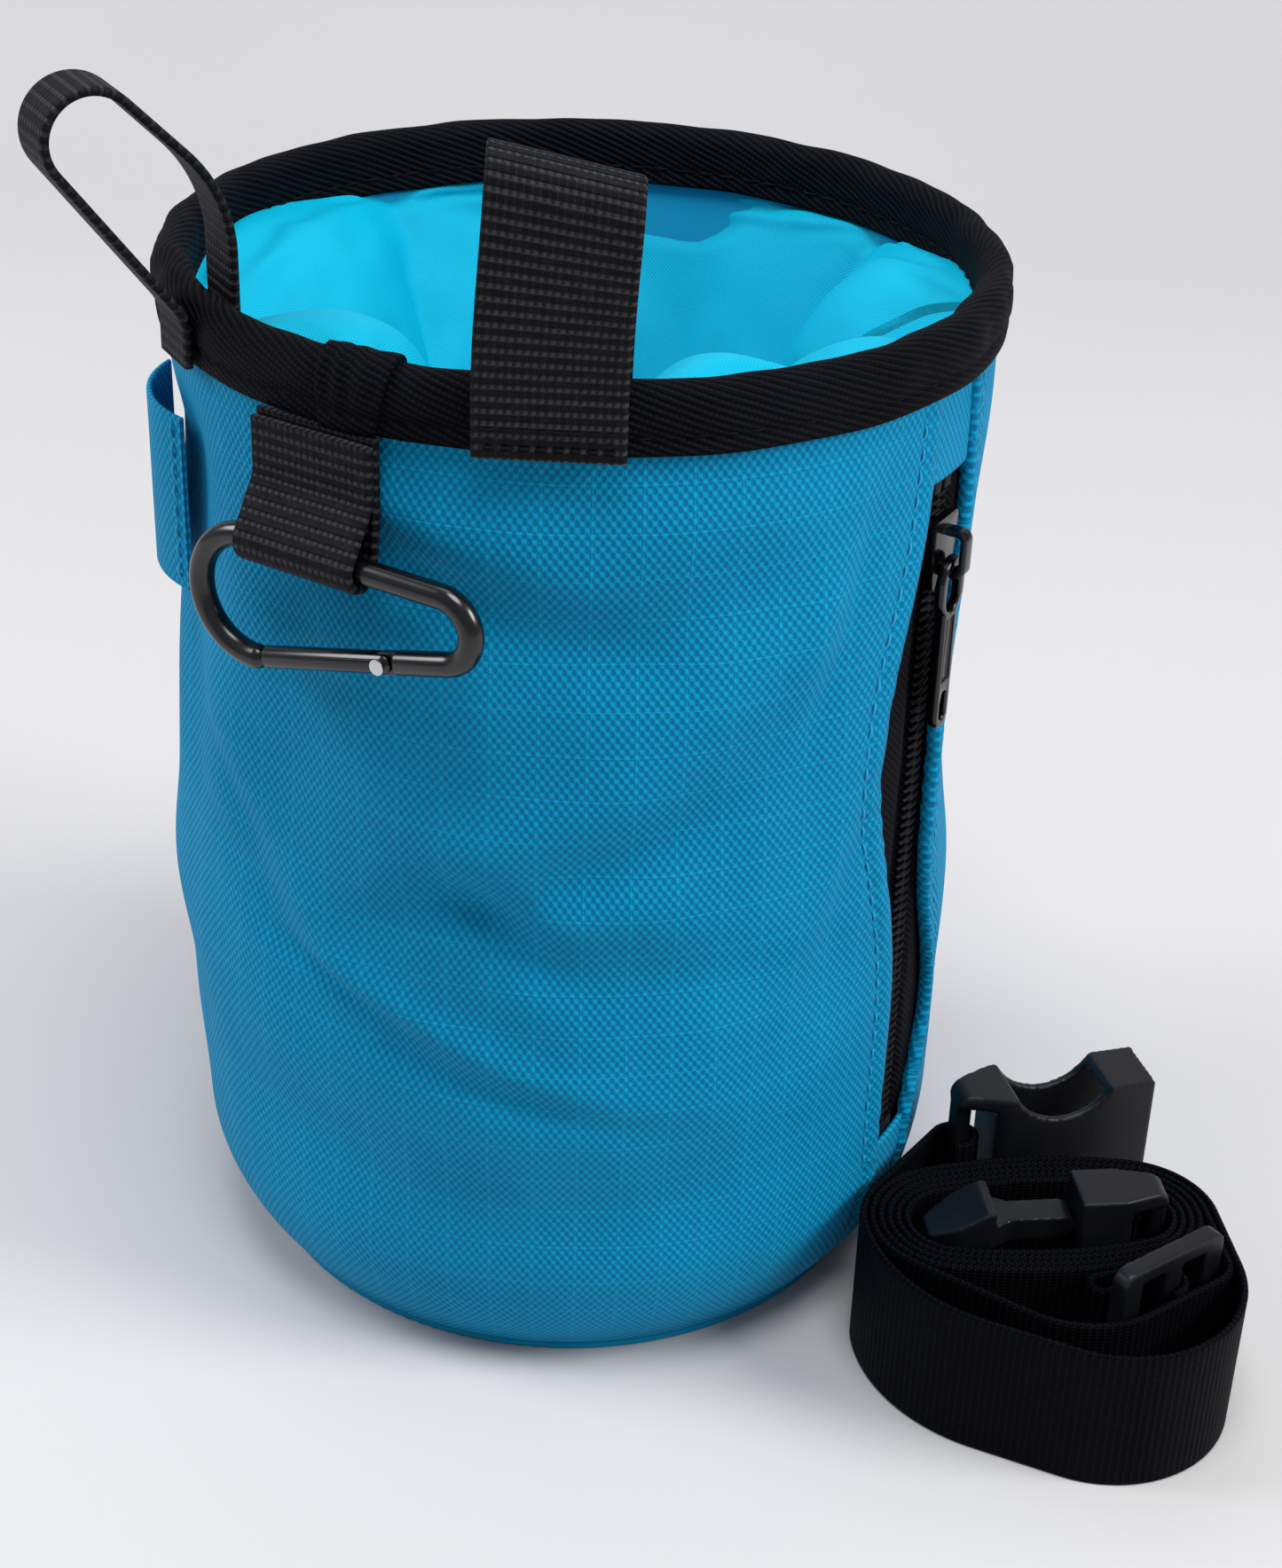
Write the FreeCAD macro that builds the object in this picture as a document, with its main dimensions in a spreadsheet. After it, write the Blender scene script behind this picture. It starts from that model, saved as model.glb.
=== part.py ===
import FreeCAD, Part
import math
import os

import Sketcher

# Chalk bag for climbing, with a zipped side pocket, a small carabiner and a
# rolled waist belt that stands beside it. Millimetres, +Z up, origin at the
# centre of the base on the ground, front loop towards -Y.

Vector = FreeCAD.Vector
Rotation = FreeCAD.Rotation
Placement = FreeCAD.Placement
UP = Vector(0, 0, 1)
QUARTER = 90.0
HALF = 180.0
FULL = 360.0

SIZES = {
    # Bag body
    "shell_radius": 60.8,
    "shell_wall": 1.4,
    "shell_corner_height": 24.0,
    "shell_corner_radius": 31.4,
    "base_inset": 9.0,
    "base_thickness": 1.6,
    "base_edge_round": 0.6,
    "back_seam_angle": 110.0,
    "seam_gap_angle": 0.4,
    "seam_gap": 0.2,
    # Rim
    "rim_overhang": 1.2,
    "rim_height": 166.5,
    "binding_depth": 9.5,
    "binding_width": 5.0,
    "binding_wall": 1.0,
    "hoop_wire_radius": 1.3,
    "overlap_angle": -115.5,
    "overlap_sweep": 6.5,
    "overlap_wall": 0.9,
    # Inner layers
    "liner_inset": 6.1,
    "liner_wall": 0.8,
    "liner_corner_radius": 26.0,
    "liner_flare_height": 18.0,
    "collar_wall": 0.7,
    "collar_throat_radius": 41.0,
    "collar_fold_depth": 4.2,
    "collar_drop": 46.0,
    # Webbing loops
    "webbing_thickness": 1.3,
    "webbing_gap": 0.3,
    "front_loop_width": 20.0,
    "front_loop_rise": 30.0,
    "front_loop_gap": 9.6,
    "side_loop_angle": -148.0,
    "side_loop_width": 10.0,
    "side_loop_rise": 28.0,
    "side_loop_reach": 18.5,
    "side_loop_eye": 6.5,
    "sleeve_angle": -164.0,
    "sleeve_width": 25.0,
    "sleeve_length": 27.0,
    "sleeve_bottom": 119.0,
    "sleeve_bulge": 5.2,
    "sleeve_wall": 0.8,
    # Zip
    "zip_angle": -27.0,
    "zip_opening_angle": 11.0,
    "zip_bottom": 28.0,
    "zip_top_drop": 23.5,
    "tape_width": 11.7,
    "tape_thickness": 0.7,
    "tape_inset": 3.6,
    "tape_gap": 1.0,
    "tooth_pitch": 1.5,
    "tooth_height": 1.2,
    "tooth_thickness": 0.5,
    "tooth_tip": 0.5,
    "tooth_length": 2.0,
    "cord_width": 0.8,
    "stop_length": 2.4,
    "slider_width": 8.4,
    "slider_length": 11.0,
    "slider_plate": 1.0,
    "slider_clearance": 0.3,
    "slider_drop": 6.5,
    "bail_height": 3.8,
    "bail_width": 2.0,
    "bail_wall": 1.0,
    "pull_ring_width": 7.6,
    "pull_ring_height": 8.6,
    "pull_wire": 1.6,
    "pull_tab_length": 19.0,
    "pull_tab_width": 4.2,
    "pull_hole_width": 2.0,
    "pull_hole_length": 4.6,
    # Carabiner and its loop
    "carabiner_angle": -120.0,
    "carabiner_rod": 3.5,
    "carabiner_standoff": 4.6,
    "spine_drop": 17.5,
    "big_end_radius": 9.0,
    "big_end_place": -9.3,
    "small_end_radius": 4.8,
    "small_end_place": 22.5,
    "gate_rod": 3.2,
    "rivet_radius": 0.7,
    "rivet_place": 13.3,
    "eye_clearance": 0.3,
    "eye_wall": 1.3,
    "lining_inset": 5.3,
    "lining_wall": 0.5,
    "lining_bottom": 15.0,
    "lining_sweep": 90.0,
    # Belt
    "belt_width": 25.0,
    "belt_thickness": 0.85,
    "belt_pitch": 1.35,
    "roll_standoff": 28.7,
    "roll_place_angle": -28.2,
    "roll_tilt": 9.0,
    "roll_end_radius": 7.0,
    "roll_crown_radius": 70.0,
    "roll_crown_sweep": 26.0,
    "strap_clearance": 0.3,
    # Buckle and strap adjuster
    "buckle_width": 30.5,
    "buckle_wall": 2.7,
    "buckle_thickness": 9.0,
    "buckle_bar": 2.6,
    "buckle_slot": 3.4,
    "bar_thickness": 3.6,
    "buckle_block": 14.5,
    "buckle_length": 38.0,
    "arm_width": 4.0,
    "arm_gap": 0.2,
    "barb_width": 6.6,
    "barb_length": 10.2,
    "socket_length": 33.0,
    "socket_width": 34.0,
    "socket_thickness": 10.5,
    "socket_wall": 1.5,
    "saddle_radius": 9.0,
    "saddle_depth": 5.0,
    "adjuster_length": 21.0,
    "adjuster_thickness": 3.0,
    "adjuster_rail": 4.0,
    "adjuster_bar": 3.4,
}


class Size:
    """A length or angle that carries the sheet formula it comes from."""

    def __init__(self, value, formula=None):
        self.value = float(value)
        self.formula = formula or repr(float(value))

    def __add__(self, other):
        other = as_size(other)
        return Size(self.value + other.value, "(%s + %s)" % (self.formula, other.formula))

    def __sub__(self, other):
        other = as_size(other)
        return Size(self.value - other.value, "(%s - %s)" % (self.formula, other.formula))

    def __mul__(self, other):
        other = as_size(other)
        return Size(self.value * other.value, "(%s * %s)" % (self.formula, other.formula))

    def __truediv__(self, other):
        other = as_size(other)
        return Size(self.value / other.value, "(%s / %s)" % (self.formula, other.formula))

    def __neg__(self):
        return Size(-self.value, "(0 - %s)" % self.formula)

    def __float__(self):
        return self.value


def as_size(item):
    return item if isinstance(item, Size) else Size(item)


def root(item):
    return Size(math.sqrt(item.value), "sqrt(%s)" % item.formula)


class Sheet:
    """The driving sizes, read as attributes."""


doc = FreeCAD.newDocument("ChalkBag")
sheet = doc.addObject("Spreadsheet::Sheet", "Sizes")
s = Sheet()
for row, (alias, value) in enumerate(SIZES.items(), start=1):
    sheet.set("A%d" % row, alias)
    sheet.set("B%d" % row, str(value))
    sheet.setAlias("B%d" % row, alias)
doc.recompute()
for alias in SIZES:
    setattr(s, alias, Size(sheet.get(alias), "Sizes." + alias))

ZERO = Size(0)
parts = []


def keep(item, label):
    """Name a sub-part and put it on the list of pieces that are written out."""
    item.Label = label
    parts.append(item)
    return item


def bind(item, name, length):
    """Set a property and tie it to its cells."""
    setattr(item, name, length.value)
    item.setExpression(name, length.formula)


def new_body(name):
    return keep(doc.addObject("PartDesign::Body", name), name)


def new_sketch(body, plane, name, offset=None):
    """A sketch on one of the body's own origin planes, or parallel to it."""
    sketch = body.newObject("Sketcher::SketchObject", name)
    support = next(item for item in body.Origin.OriginFeatures if item.Role == plane)
    sketch.AttachmentSupport = [(support, "")]
    sketch.MapMode = "FlatFace"
    if offset is not None:
        sketch.AttachmentOffset = Placement(Vector(0, 0, offset.value), Rotation())
        sketch.setExpression("AttachmentOffset.Base.z", offset.formula)
    return sketch


def pin(sketch, edge, end, x, y):
    """Hold one end of an edge at its coordinates."""
    for kind, axis, length in (("DistanceX", -2, x), ("DistanceY", -1, y)):
        if length.formula == ZERO.formula:
            sketch.addConstraint(Sketcher.Constraint("PointOnObject", edge, end, axis))
        else:
            index = sketch.addConstraint(
                Sketcher.Constraint(kind, -1, 1, edge, end, length.value))
            sketch.setExpression("Constraints[%d]" % index, length.formula)


def arc_between(start, end, radius, turn):
    """The arc of under half a turn, or of just half, between two points."""
    middle = (start + end) * 0.5
    chord = end - start
    reach = math.sqrt(max(radius ** 2 - (chord.Length / 2) ** 2, 0))
    side = Vector(-chord.y, chord.x, 0).normalize() * turn
    centre = middle + side * reach
    first, last = (start, end) if turn > 0 else (end, start)
    circle = Part.Circle(centre, UP, radius)
    return Part.ArcOfCircle(circle, circle.parameter(first), circle.parameter(last))


def outline(sketch, start, *steps):
    """Draw a closed outline. A step is (x, y) for a straight edge, (x, y, radius, turn) for an
    arc of less than half a turn, and (x, y, None, turn) for half a turn between two points at
    one height; turn is 1 when it runs anticlockwise and -1 when clockwise."""
    corners = [tuple(as_size(item) for item in start)]
    first_edge = sketch.GeometryCount
    ends = []
    for step in list(steps) + [start]:
        x, y = as_size(step[0]), as_size(step[1])
        if len(step) < 4 and (x.value, y.value) == (corners[-1][0].value, corners[-1][1].value):
            continue
        a = Vector(corners[-1][0].value, corners[-1][1].value, 0)
        b = Vector(x.value, y.value, 0)
        if len(step) < 4:
            edge = sketch.addGeometry(Part.LineSegment(a, b))
            ends.append((edge, 1, 2))
        else:
            radius = step[2]
            length = radius.value if radius else (b - a).Length / 2
            edge = sketch.addGeometry(arc_between(a, b, length, step[3]))
            ends.append((edge, 1, 2) if step[3] > 0 else (edge, 2, 1))
            if radius:
                index = sketch.addConstraint(Sketcher.Constraint("Radius", edge, length))
                sketch.setExpression("Constraints[%d]" % index, radius.formula)
            else:
                index = sketch.addConstraint(
                    Sketcher.Constraint("DistanceY", -1, 1, edge, 3, y.value))
                sketch.setExpression("Constraints[%d]" % index, y.formula)
        corners.append((x, y))
    for (edge, near, far), (after, near_after, far_after) in zip(ends, ends[1:] + ends[:1]):
        sketch.addConstraint(Sketcher.Constraint("Coincident", edge, far, after, near_after))
    for (edge, near, far), (x, y) in zip(ends, corners):
        pin(sketch, edge, near, x, y)
    return first_edge


def rectangle(sketch, low_x, low_y, high_x, high_y):
    outline(sketch, (low_x, low_y), (high_x, low_y), (high_x, high_y), (low_x, high_y))


def hole(sketch, x, y, radius):
    """A full circle."""
    edge = sketch.addGeometry(Part.Circle(Vector(as_size(x).value, as_size(y).value, 0), UP,
                                          radius.value))
    index = sketch.addConstraint(Sketcher.Constraint("Radius", edge, radius.value))
    sketch.setExpression("Constraints[%d]" % index, radius.formula)
    pin(sketch, edge, 3, as_size(x), as_size(y))


def pad(body, sketch, length, name, symmetric=False):
    feature = body.newObject("PartDesign::Pad", name)
    feature.Profile = sketch
    bind(feature, "Length", as_size(length))
    feature.SideType = "Symmetric" if symmetric else "One side"
    body.Tip = feature
    return feature


def pocket(body, sketch, length, name, symmetric=False):
    """Cut a pocket and make sure that it takes something away."""
    doc.recompute()
    before = body.Shape.Volume
    feature = body.newObject("PartDesign::Pocket", name)
    feature.Profile = sketch
    bind(feature, "Length", as_size(length))
    feature.SideType = "Symmetric" if symmetric else "One side"
    body.Tip = feature
    doc.recompute()
    if not body.Shape.Volume < before:
        raise RuntimeError("%s cuts nothing" % name)
    return feature


def revolve(body, sketch, angle, name):
    """Turn a profile about the vertical axis, half of the sweep to each side."""
    feature = body.newObject("PartDesign::Revolution", name)
    feature.Profile = sketch
    feature.ReferenceAxis = (sketch, ["V_Axis"])
    feature.Midplane = True
    bind(feature, "Angle", as_size(angle))
    body.Tip = feature
    return feature


def round_edges(body, base, radius, name, wanted):
    """Round the edges of the base feature that pass a test."""
    doc.recompute()
    names = ["Edge%d" % (place + 1) for place, edge in enumerate(base.Shape.Edges)
             if wanted(edge)]
    feature = body.newObject("PartDesign::Fillet", name)
    feature.Base = (base, names)
    bind(feature, "Radius", as_size(radius))
    body.Tip = feature
    return feature


def box(name, low, high):
    """A block from its low corner to its high corner."""
    block = doc.addObject("Part::Box", name)
    low = [as_size(item) for item in low]
    high = [as_size(item) for item in high]
    for side, near, far in zip(("Length", "Width", "Height"), low, high):
        bind(block, side, far - near)
    block.Placement = Placement(Vector(*[item.value for item in low]), Rotation())
    for axis, near in zip("xyz", low):
        block.setExpression("Placement.Base." + axis, near.formula)
    return block


def around(item, angle):
    """Swing a sub-part about the bag's axis. It is drawn with +X pointing outwards."""
    swing = Placement(Vector(), Rotation(UP, as_size(angle).value))
    item.Placement = swing.multiply(item.Placement)
    if "Length" in item.PropertiesList:
        for axis in "xyz":
            item.setExpression("Placement.Base." + axis, None)
    return item


def solid_part(name, shape, placement=None):
    """A sub-part whose bent form neither a sketch nor a primitive gives."""
    item = doc.addObject("Part::Feature", name)
    item.Shape = shape
    if placement:
        item.Placement = placement
    return keep(item, name)


# Shared heights and radii

rim_radius = s.shell_radius + s.rim_overhang
base_radius = s.shell_radius - s.base_inset
liner_radius = s.shell_radius - s.liner_inset
lining_radius = s.shell_radius - s.lining_inset
tape_offset = s.shell_radius - s.tape_inset
carabiner_offset = s.shell_radius + s.carabiner_standoff
binding_foot = s.rim_height - s.binding_depth
spine_height = binding_foot - s.spine_drop
zip_top = s.rim_height - s.zip_top_drop
binding_crown = s.rim_height - s.binding_width / 2
binding_inner = rim_radius - s.binding_width
seam_height = s.base_thickness + s.seam_gap
shell_inner = s.shell_radius - s.shell_wall
shell_top = binding_crown - s.hoop_wire_radius - s.seam_gap
zip_half_angle = s.zip_opening_angle / 2


def corner_reach(radius):
    """How far out the rounded lower corner of the shell stands at its foot."""
    middle = s.shell_radius - s.shell_corner_radius
    drop = s.shell_corner_height - seam_height
    return middle + root(radius * radius - drop * drop)


def shell_sector(name, sweep, middle, top):
    """One panel of the bag's wall, with its rounded foot."""
    body = new_body(name)
    sketch = new_sketch(body, "XZ_Plane", name + "_profile")
    inner_corner = s.shell_corner_radius - s.shell_wall
    outline(sketch, (corner_reach(s.shell_corner_radius), seam_height),
            (s.shell_radius, s.shell_corner_height, s.shell_corner_radius, 1),
            (s.shell_radius, top),
            (shell_inner, top),
            (shell_inner, s.shell_corner_height),
            (corner_reach(inner_corner), seam_height, inner_corner, -1))
    revolve(body, sketch, sweep, name + "_turn")
    around(body, middle)


def binding_profile(sketch, proud):
    """The folded edge tape: two legs and a rounded crown, proud of the plain tape."""
    outer = rim_radius + proud
    inner = binding_inner - proud
    wall = s.binding_wall
    if proud.value:
        wall = proud - s.seam_gap / 2
    outline(sketch, (outer, binding_foot),
            (outer, binding_crown),
            (inner, binding_crown, None, 1),
            (inner, binding_foot),
            (inner + wall, binding_foot),
            (inner + wall, binding_crown),
            (outer - wall, binding_crown, None, -1),
            (outer - wall, binding_foot))


# Bag body

def make_base():
    body = new_body("base_panel")
    sketch = new_sketch(body, "XZ_Plane", "base_profile")
    edge = s.base_edge_round
    outline(sketch, (ZERO, ZERO),
            (base_radius - edge, ZERO),
            (base_radius, edge, edge, 1),
            (base_radius, s.base_thickness),
            (ZERO, s.base_thickness))
    revolve(body, sketch, FULL, "base_turn")


def make_shell():
    zip_left = s.zip_angle - zip_half_angle
    zip_right = s.zip_angle + zip_half_angle
    side_sweep = s.back_seam_angle - zip_right - s.seam_gap_angle
    front_sweep = Size(FULL) - s.zip_opening_angle - side_sweep - s.seam_gap_angle
    shell_sector("front_panel", front_sweep, zip_left - front_sweep / 2, shell_top)
    shell_sector("side_panel", side_sweep, zip_right + side_sweep / 2, shell_top)
    filler_sweep = s.zip_opening_angle - s.seam_gap_angle * 2
    shell_sector("zip_foot_panel", filler_sweep, s.zip_angle, s.zip_bottom)
    body = new_body("zip_cap_panel")
    sketch = new_sketch(body, "XZ_Plane", "zip_cap_profile")
    rectangle(sketch, shell_inner, zip_top, s.shell_radius, shell_top)
    revolve(body, sketch, filler_sweep, "zip_cap_turn")
    around(body, s.zip_angle)


def make_liner():
    body = new_body("liner")
    sketch = new_sketch(body, "XZ_Plane", "liner_profile")
    wall = s.liner_wall
    corner = s.liner_corner_radius
    floor = seam_height
    flare = binding_foot - s.liner_flare_height
    tucked = shell_inner - s.seam_gap
    outline(sketch, (ZERO, floor),
            (liner_radius - corner, floor),
            (liner_radius, floor + corner, corner, 1),
            (liner_radius, flare),
            (tucked, binding_foot),
            (tucked, shell_top),
            (tucked - wall, shell_top),
            (tucked - wall, binding_foot),
            (liner_radius - wall, flare),
            (liner_radius - wall, floor + corner),
            (liner_radius - corner, floor + wall, corner - wall, -1),
            (ZERO, floor + wall))
    revolve(body, sketch, FULL, "liner_turn")


def make_rim():
    body = new_body("rim_binding")
    sketch = new_sketch(body, "XZ_Plane", "binding_profile")
    binding_profile(sketch, ZERO)
    revolve(body, sketch, FULL, "binding_turn")
    fold = new_body("binding_overlap")
    fold_sketch = new_sketch(fold, "XZ_Plane", "overlap_profile")
    binding_profile(fold_sketch, s.overlap_wall + s.seam_gap / 2)
    revolve(fold, fold_sketch, s.overlap_sweep, "overlap_turn")
    around(fold, s.overlap_angle)
    hoop = doc.addObject("Part::Torus", "rim_hoop")
    bind(hoop, "Radius1", rim_radius - s.binding_width / 2)
    bind(hoop, "Radius2", s.hoop_wire_radius)
    hoop.Placement = Placement(Vector(0, 0, binding_crown.value), Rotation())
    hoop.setExpression("Placement.Base.z", binding_crown.formula)
    keep(hoop, "rim_hoop")


def fold_ring(height, radius, depth, folds):
    """A closed ring whose folds are shallow arcs, crest and hollow in turn."""
    edges = []
    step = math.pi / folds
    for place in range(2 * folds):
        turn = place * step
        swell = depth if place % 2 else -depth
        points = []
        for shift, out in ((-0.5, 0.0), (0.0, swell), (0.5, 0.0)):
            angle = turn + shift * step
            reach = radius + out
            points.append(Vector(reach * math.cos(angle), reach * math.sin(angle), height))
        edges.append(Part.Arc(*points).toShape())
    return Part.Wire(edges)


def make_collar():
    """The thin closing sleeve, sewn inside the rim and tucked down into the bag. Its folds
    deepen as it is drawn in towards the throat."""
    folds = 9
    levels = 4
    top = binding_foot.value - s.webbing_gap.value
    top_radius = (binding_inner + s.webbing_gap).value
    radii = top_radius - s.collar_throat_radius.value
    outer, inner = [], []
    for level in range(levels + 1):
        part = level / levels
        height = top - part * s.collar_drop.value
        draw = math.sin(part * math.pi / 2)
        radius = top_radius - radii * draw
        depth = s.collar_fold_depth.value * min(1.0, 0.12 + part)
        outer.append(fold_ring(height, radius, depth, folds))
        inner.append(fold_ring(height, radius - s.collar_wall.value, depth, folds))
    shape = Part.makeLoft(outer, True, True).cut(Part.makeLoft(inner, True, True))
    solid_part("closure_collar", shape.Solids[0])


# Webbing

def march(pieces, start, heading):
    """Follow lines and arcs from a start. A piece is (length, None) for a line, or (radius,
    sweep) for an arc that turns clockwise by sweep degrees, anticlockwise if it is negative.
    It returns (start, middle, end, radius) for each piece, radius None for a line."""
    x, y = start
    angle = math.radians(heading)
    steps = []
    for size, sweep in pieces:
        if sweep is None:
            ahead = (x + size * math.cos(angle), y + size * math.sin(angle))
            steps.append(((x, y, angle), None, (ahead[0], ahead[1], angle), None))
            x, y = ahead
            continue
        side = 1 if sweep > 0 else -1
        centre = (x + side * size * math.sin(angle), y - side * size * math.cos(angle))
        places = []
        for part in (0.5, 1.0):
            turned = angle - math.radians(sweep) * part
            places.append((centre[0] - side * size * math.sin(turned),
                           centre[1] + side * size * math.cos(turned), turned))
        steps.append(((x, y, angle), places[0], places[1], size))
        x, y, angle = places[1]
    return steps


def ribbon_face(steps, thickness):
    """The edge-on face of a strap that follows the steps."""
    def beside(place, offset):
        x, y, angle = place
        return Vector(x - offset * math.sin(angle), y + offset * math.cos(angle), 0)

    sides = []
    for offset in (thickness / 2, -thickness / 2):
        edges = []
        for near, middle, far, radius in steps:
            if radius is None:
                edges.append(Part.LineSegment(beside(near, offset), beside(far, offset)).toShape())
            else:
                edges.append(Part.Arc(beside(near, offset), beside(middle, offset),
                                      beside(far, offset)).toShape())
        sides.append(edges)
    left, right = sides
    first, last = steps[0][0], steps[-1][2]
    half = thickness / 2
    closing = Part.LineSegment(beside(last, half), beside(last, -half)).toShape()
    opening = Part.LineSegment(beside(first, -half), beside(first, half)).toShape()
    return Part.Face(Part.Wire(left + [closing] + right[::-1] + [opening]))


def ribbon(steps, thickness, width):
    """A strap with its width along +Z."""
    return ribbon_face(steps, thickness).extrude(UP * width)


def least_gap(steps, thickness):
    """The least clear distance between turns of a strap, measured on points along it."""
    points = []
    length = 0.0
    for near, middle, far, radius in steps:
        count = 12 if radius else 4
        for place in range(count):
            share = place / count
            if radius is None:
                x = near[0] + (far[0] - near[0]) * share
                y = near[1] + (far[1] - near[1]) * share
                run = math.hypot(far[0] - near[0], far[1] - near[1])
            else:
                sweep = far[2] - near[2]
                side = -1 if sweep > 0 else 1
                angle = near[2] + sweep * share
                cx = near[0] + side * radius * math.sin(near[2])
                cy = near[1] - side * radius * math.cos(near[2])
                x = cx - side * radius * math.sin(angle)
                y = cy + side * radius * math.cos(angle)
                run = abs(sweep) * radius
            points.append((x, y, length + run * share))
        length += run
    least = 1e9
    apart = 12 * thickness
    for place, (x, y, along) in enumerate(points):
        for other_x, other_y, other in points[place + 1:]:
            if other - along > apart:
                least = min(least, math.hypot(x - other_x, y - other_y))
    return least - thickness, length


def upright(item, width, angle):
    """Stand a strap drawn flat in XY on edge in the radial plane at an angle."""
    lift = Placement(Vector(0, width.value / 2, 0), Rotation(Vector(1, 0, 0), QUARTER))
    swing = Placement(Vector(), Rotation(UP, as_size(angle).value))
    item.Placement = swing.multiply(lift)


def behind_binding(width):
    """How far out a flat strap of some width can stand inside the rim."""
    half = width / 2
    return root(binding_inner * binding_inner - half * half) - s.webbing_gap


def make_front_loop():
    body = new_body("front_loop")
    sketch = new_sketch(body, "XZ_Plane", "front_loop_profile")
    wall = s.webbing_thickness
    outer = rim_radius + s.webbing_gap
    inner = behind_binding(s.front_loop_width)
    middle = rim_radius - s.binding_width / 2
    half = s.front_loop_gap / 2
    crown = s.rim_height + s.front_loop_rise - half - wall
    outline(sketch, (outer + wall, binding_foot),
            (outer + wall, s.rim_height),
            (middle + half + wall, crown),
            (middle - half - wall, crown, None, 1),
            (inner - wall, s.rim_height),
            (inner - wall, binding_foot),
            (inner, binding_foot),
            (inner, s.rim_height),
            (middle - half, crown),
            (middle + half, crown, None, -1),
            (outer, s.rim_height),
            (outer, binding_foot))
    pad(body, sketch, s.front_loop_width, "front_loop_width", symmetric=True)
    around(body, -QUARTER)


def make_side_loop():
    """A narrow loop from the inside of the rim, up and out in an eye, to the outside."""
    wall = s.webbing_thickness.value
    inside = behind_binding(s.side_loop_width).value - wall / 2
    outside = rim_radius.value + s.webbing_gap.value + wall / 2
    eye = s.side_loop_eye.value
    lean = 45.0
    turn_in = 20.0
    rise = s.side_loop_rise.value
    reach = s.side_loop_reach.value
    foot = binding_foot.value
    legs = [(rise - 2 * eye, None), (turn_in, lean)]
    eye_sweep = 172.0
    down = lean - eye_sweep
    steps = march(legs, (inside, foot), QUARTER)
    x, y, angle = steps[-1][2]
    top_run = (reach + rim_radius.value - eye * (1 + math.sin(math.radians(lean))) - x)
    top_run = top_run / math.cos(math.radians(lean))
    legs += [(top_run, None), (eye, eye_sweep)]
    steps = march(legs, (inside, foot), QUARTER)
    x, y, angle = steps[-1][2]
    bend = -(QUARTER + down)
    bend_radius = 6.0
    bend_width = bend_radius * (1 - math.cos(math.radians(bend)))
    run = (x - outside - bend_width) / -math.cos(angle)
    legs += [(run, None), (bend_radius, -bend)]
    steps = march(legs, (inside, foot), QUARTER)
    x, y, angle = steps[-1][2]
    legs += [(y - foot, None)]
    steps = march(legs, (inside, foot), QUARTER)
    shape = ribbon(steps, wall, s.side_loop_width.value)
    item = solid_part("side_loop", shape)
    upright(item, s.side_loop_width, s.side_loop_angle)


def make_sleeve():
    """The band for a brush handle, sewn down along both edges and bowed out between."""
    body = new_body("brush_sleeve")
    sketch = new_sketch(body, "XY_Plane", "sleeve_profile", s.sleeve_bottom)
    half = s.sleeve_width / 2
    wall = s.sleeve_wall
    inner_half = half - wall * 2
    seat = root(s.shell_radius * s.shell_radius - inner_half * inner_half) + s.seam_gap
    rise = s.shell_radius + s.sleeve_bulge - seat
    bow = (half * half + rise * rise) / (rise * 2)
    inner_rise = rise - wall
    inner_bow = (inner_half * inner_half + inner_rise * inner_rise) / (inner_rise * 2)
    outline(sketch, (seat, -half),
            (seat, half, bow, 1),
            (seat, inner_half),
            (seat, -inner_half, inner_bow, -1))
    pad(body, sketch, s.sleeve_length, "sleeve_length")
    around(body, s.sleeve_angle)


# Zip, drawn with the opening facing +X

tape_front = tape_offset + s.tape_thickness
chain_top = zip_top - s.stop_length - s.seam_gap * 3
chain_bottom = s.zip_bottom + s.stop_length
tape_overlap = Size(2.0)


def make_tapes():
    low = s.zip_bottom - tape_overlap
    high = zip_top + tape_overlap
    gap = s.tape_gap / 2
    for name, near, far in (("zip_tape_left", -gap - s.tape_width, -gap),
                            ("zip_tape_right", gap, gap + s.tape_width)):
        tape = box(name, (tape_offset, near, low), (tape_front, far, high))
        around(keep(tape, name), s.zip_angle)


def make_coil(name, side, shift):
    """One row of teeth on its cord, side 1 to the right and -1 to the left."""
    body = new_body(name)
    cord_sketch = new_sketch(body, "XY_Plane", name + "_cord", chain_bottom)
    back = tape_front + s.tooth_height
    near = (s.tooth_length - s.cord_width) * side
    far = s.tooth_length * side
    cord_face = tape_front + s.tooth_height / 2
    rectangle(cord_sketch, tape_front, min(near, far, key=float), cord_face,
              max(near, far, key=float))
    pad(body, cord_sketch, chain_top - chain_bottom, name + "_cord_pad")
    tooth_sketch = new_sketch(body, "XY_Plane", name + "_tooth", chain_bottom + shift)
    tip = s.tooth_tip * side
    low, high = sorted((tip, far), key=float)
    rectangle(tooth_sketch, tape_front, low, back, high)
    tooth = pad(body, tooth_sketch, s.tooth_thickness, name + "_tooth_pad")
    count = int((chain_top.value - chain_bottom.value - s.tooth_pitch.value)
                / s.tooth_pitch.value)
    row = body.newObject("PartDesign::LinearPattern", name + "_row")
    row.Originals = [tooth]
    upwards = next(item for item in body.Origin.OriginFeatures if item.Role == "Z_Axis")
    row.Direction = (upwards, [""])
    bind(row, "Length", s.tooth_pitch * (count - 1))
    row.Occurrences = count
    body.Tip = row
    around(body, s.zip_angle)


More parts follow.
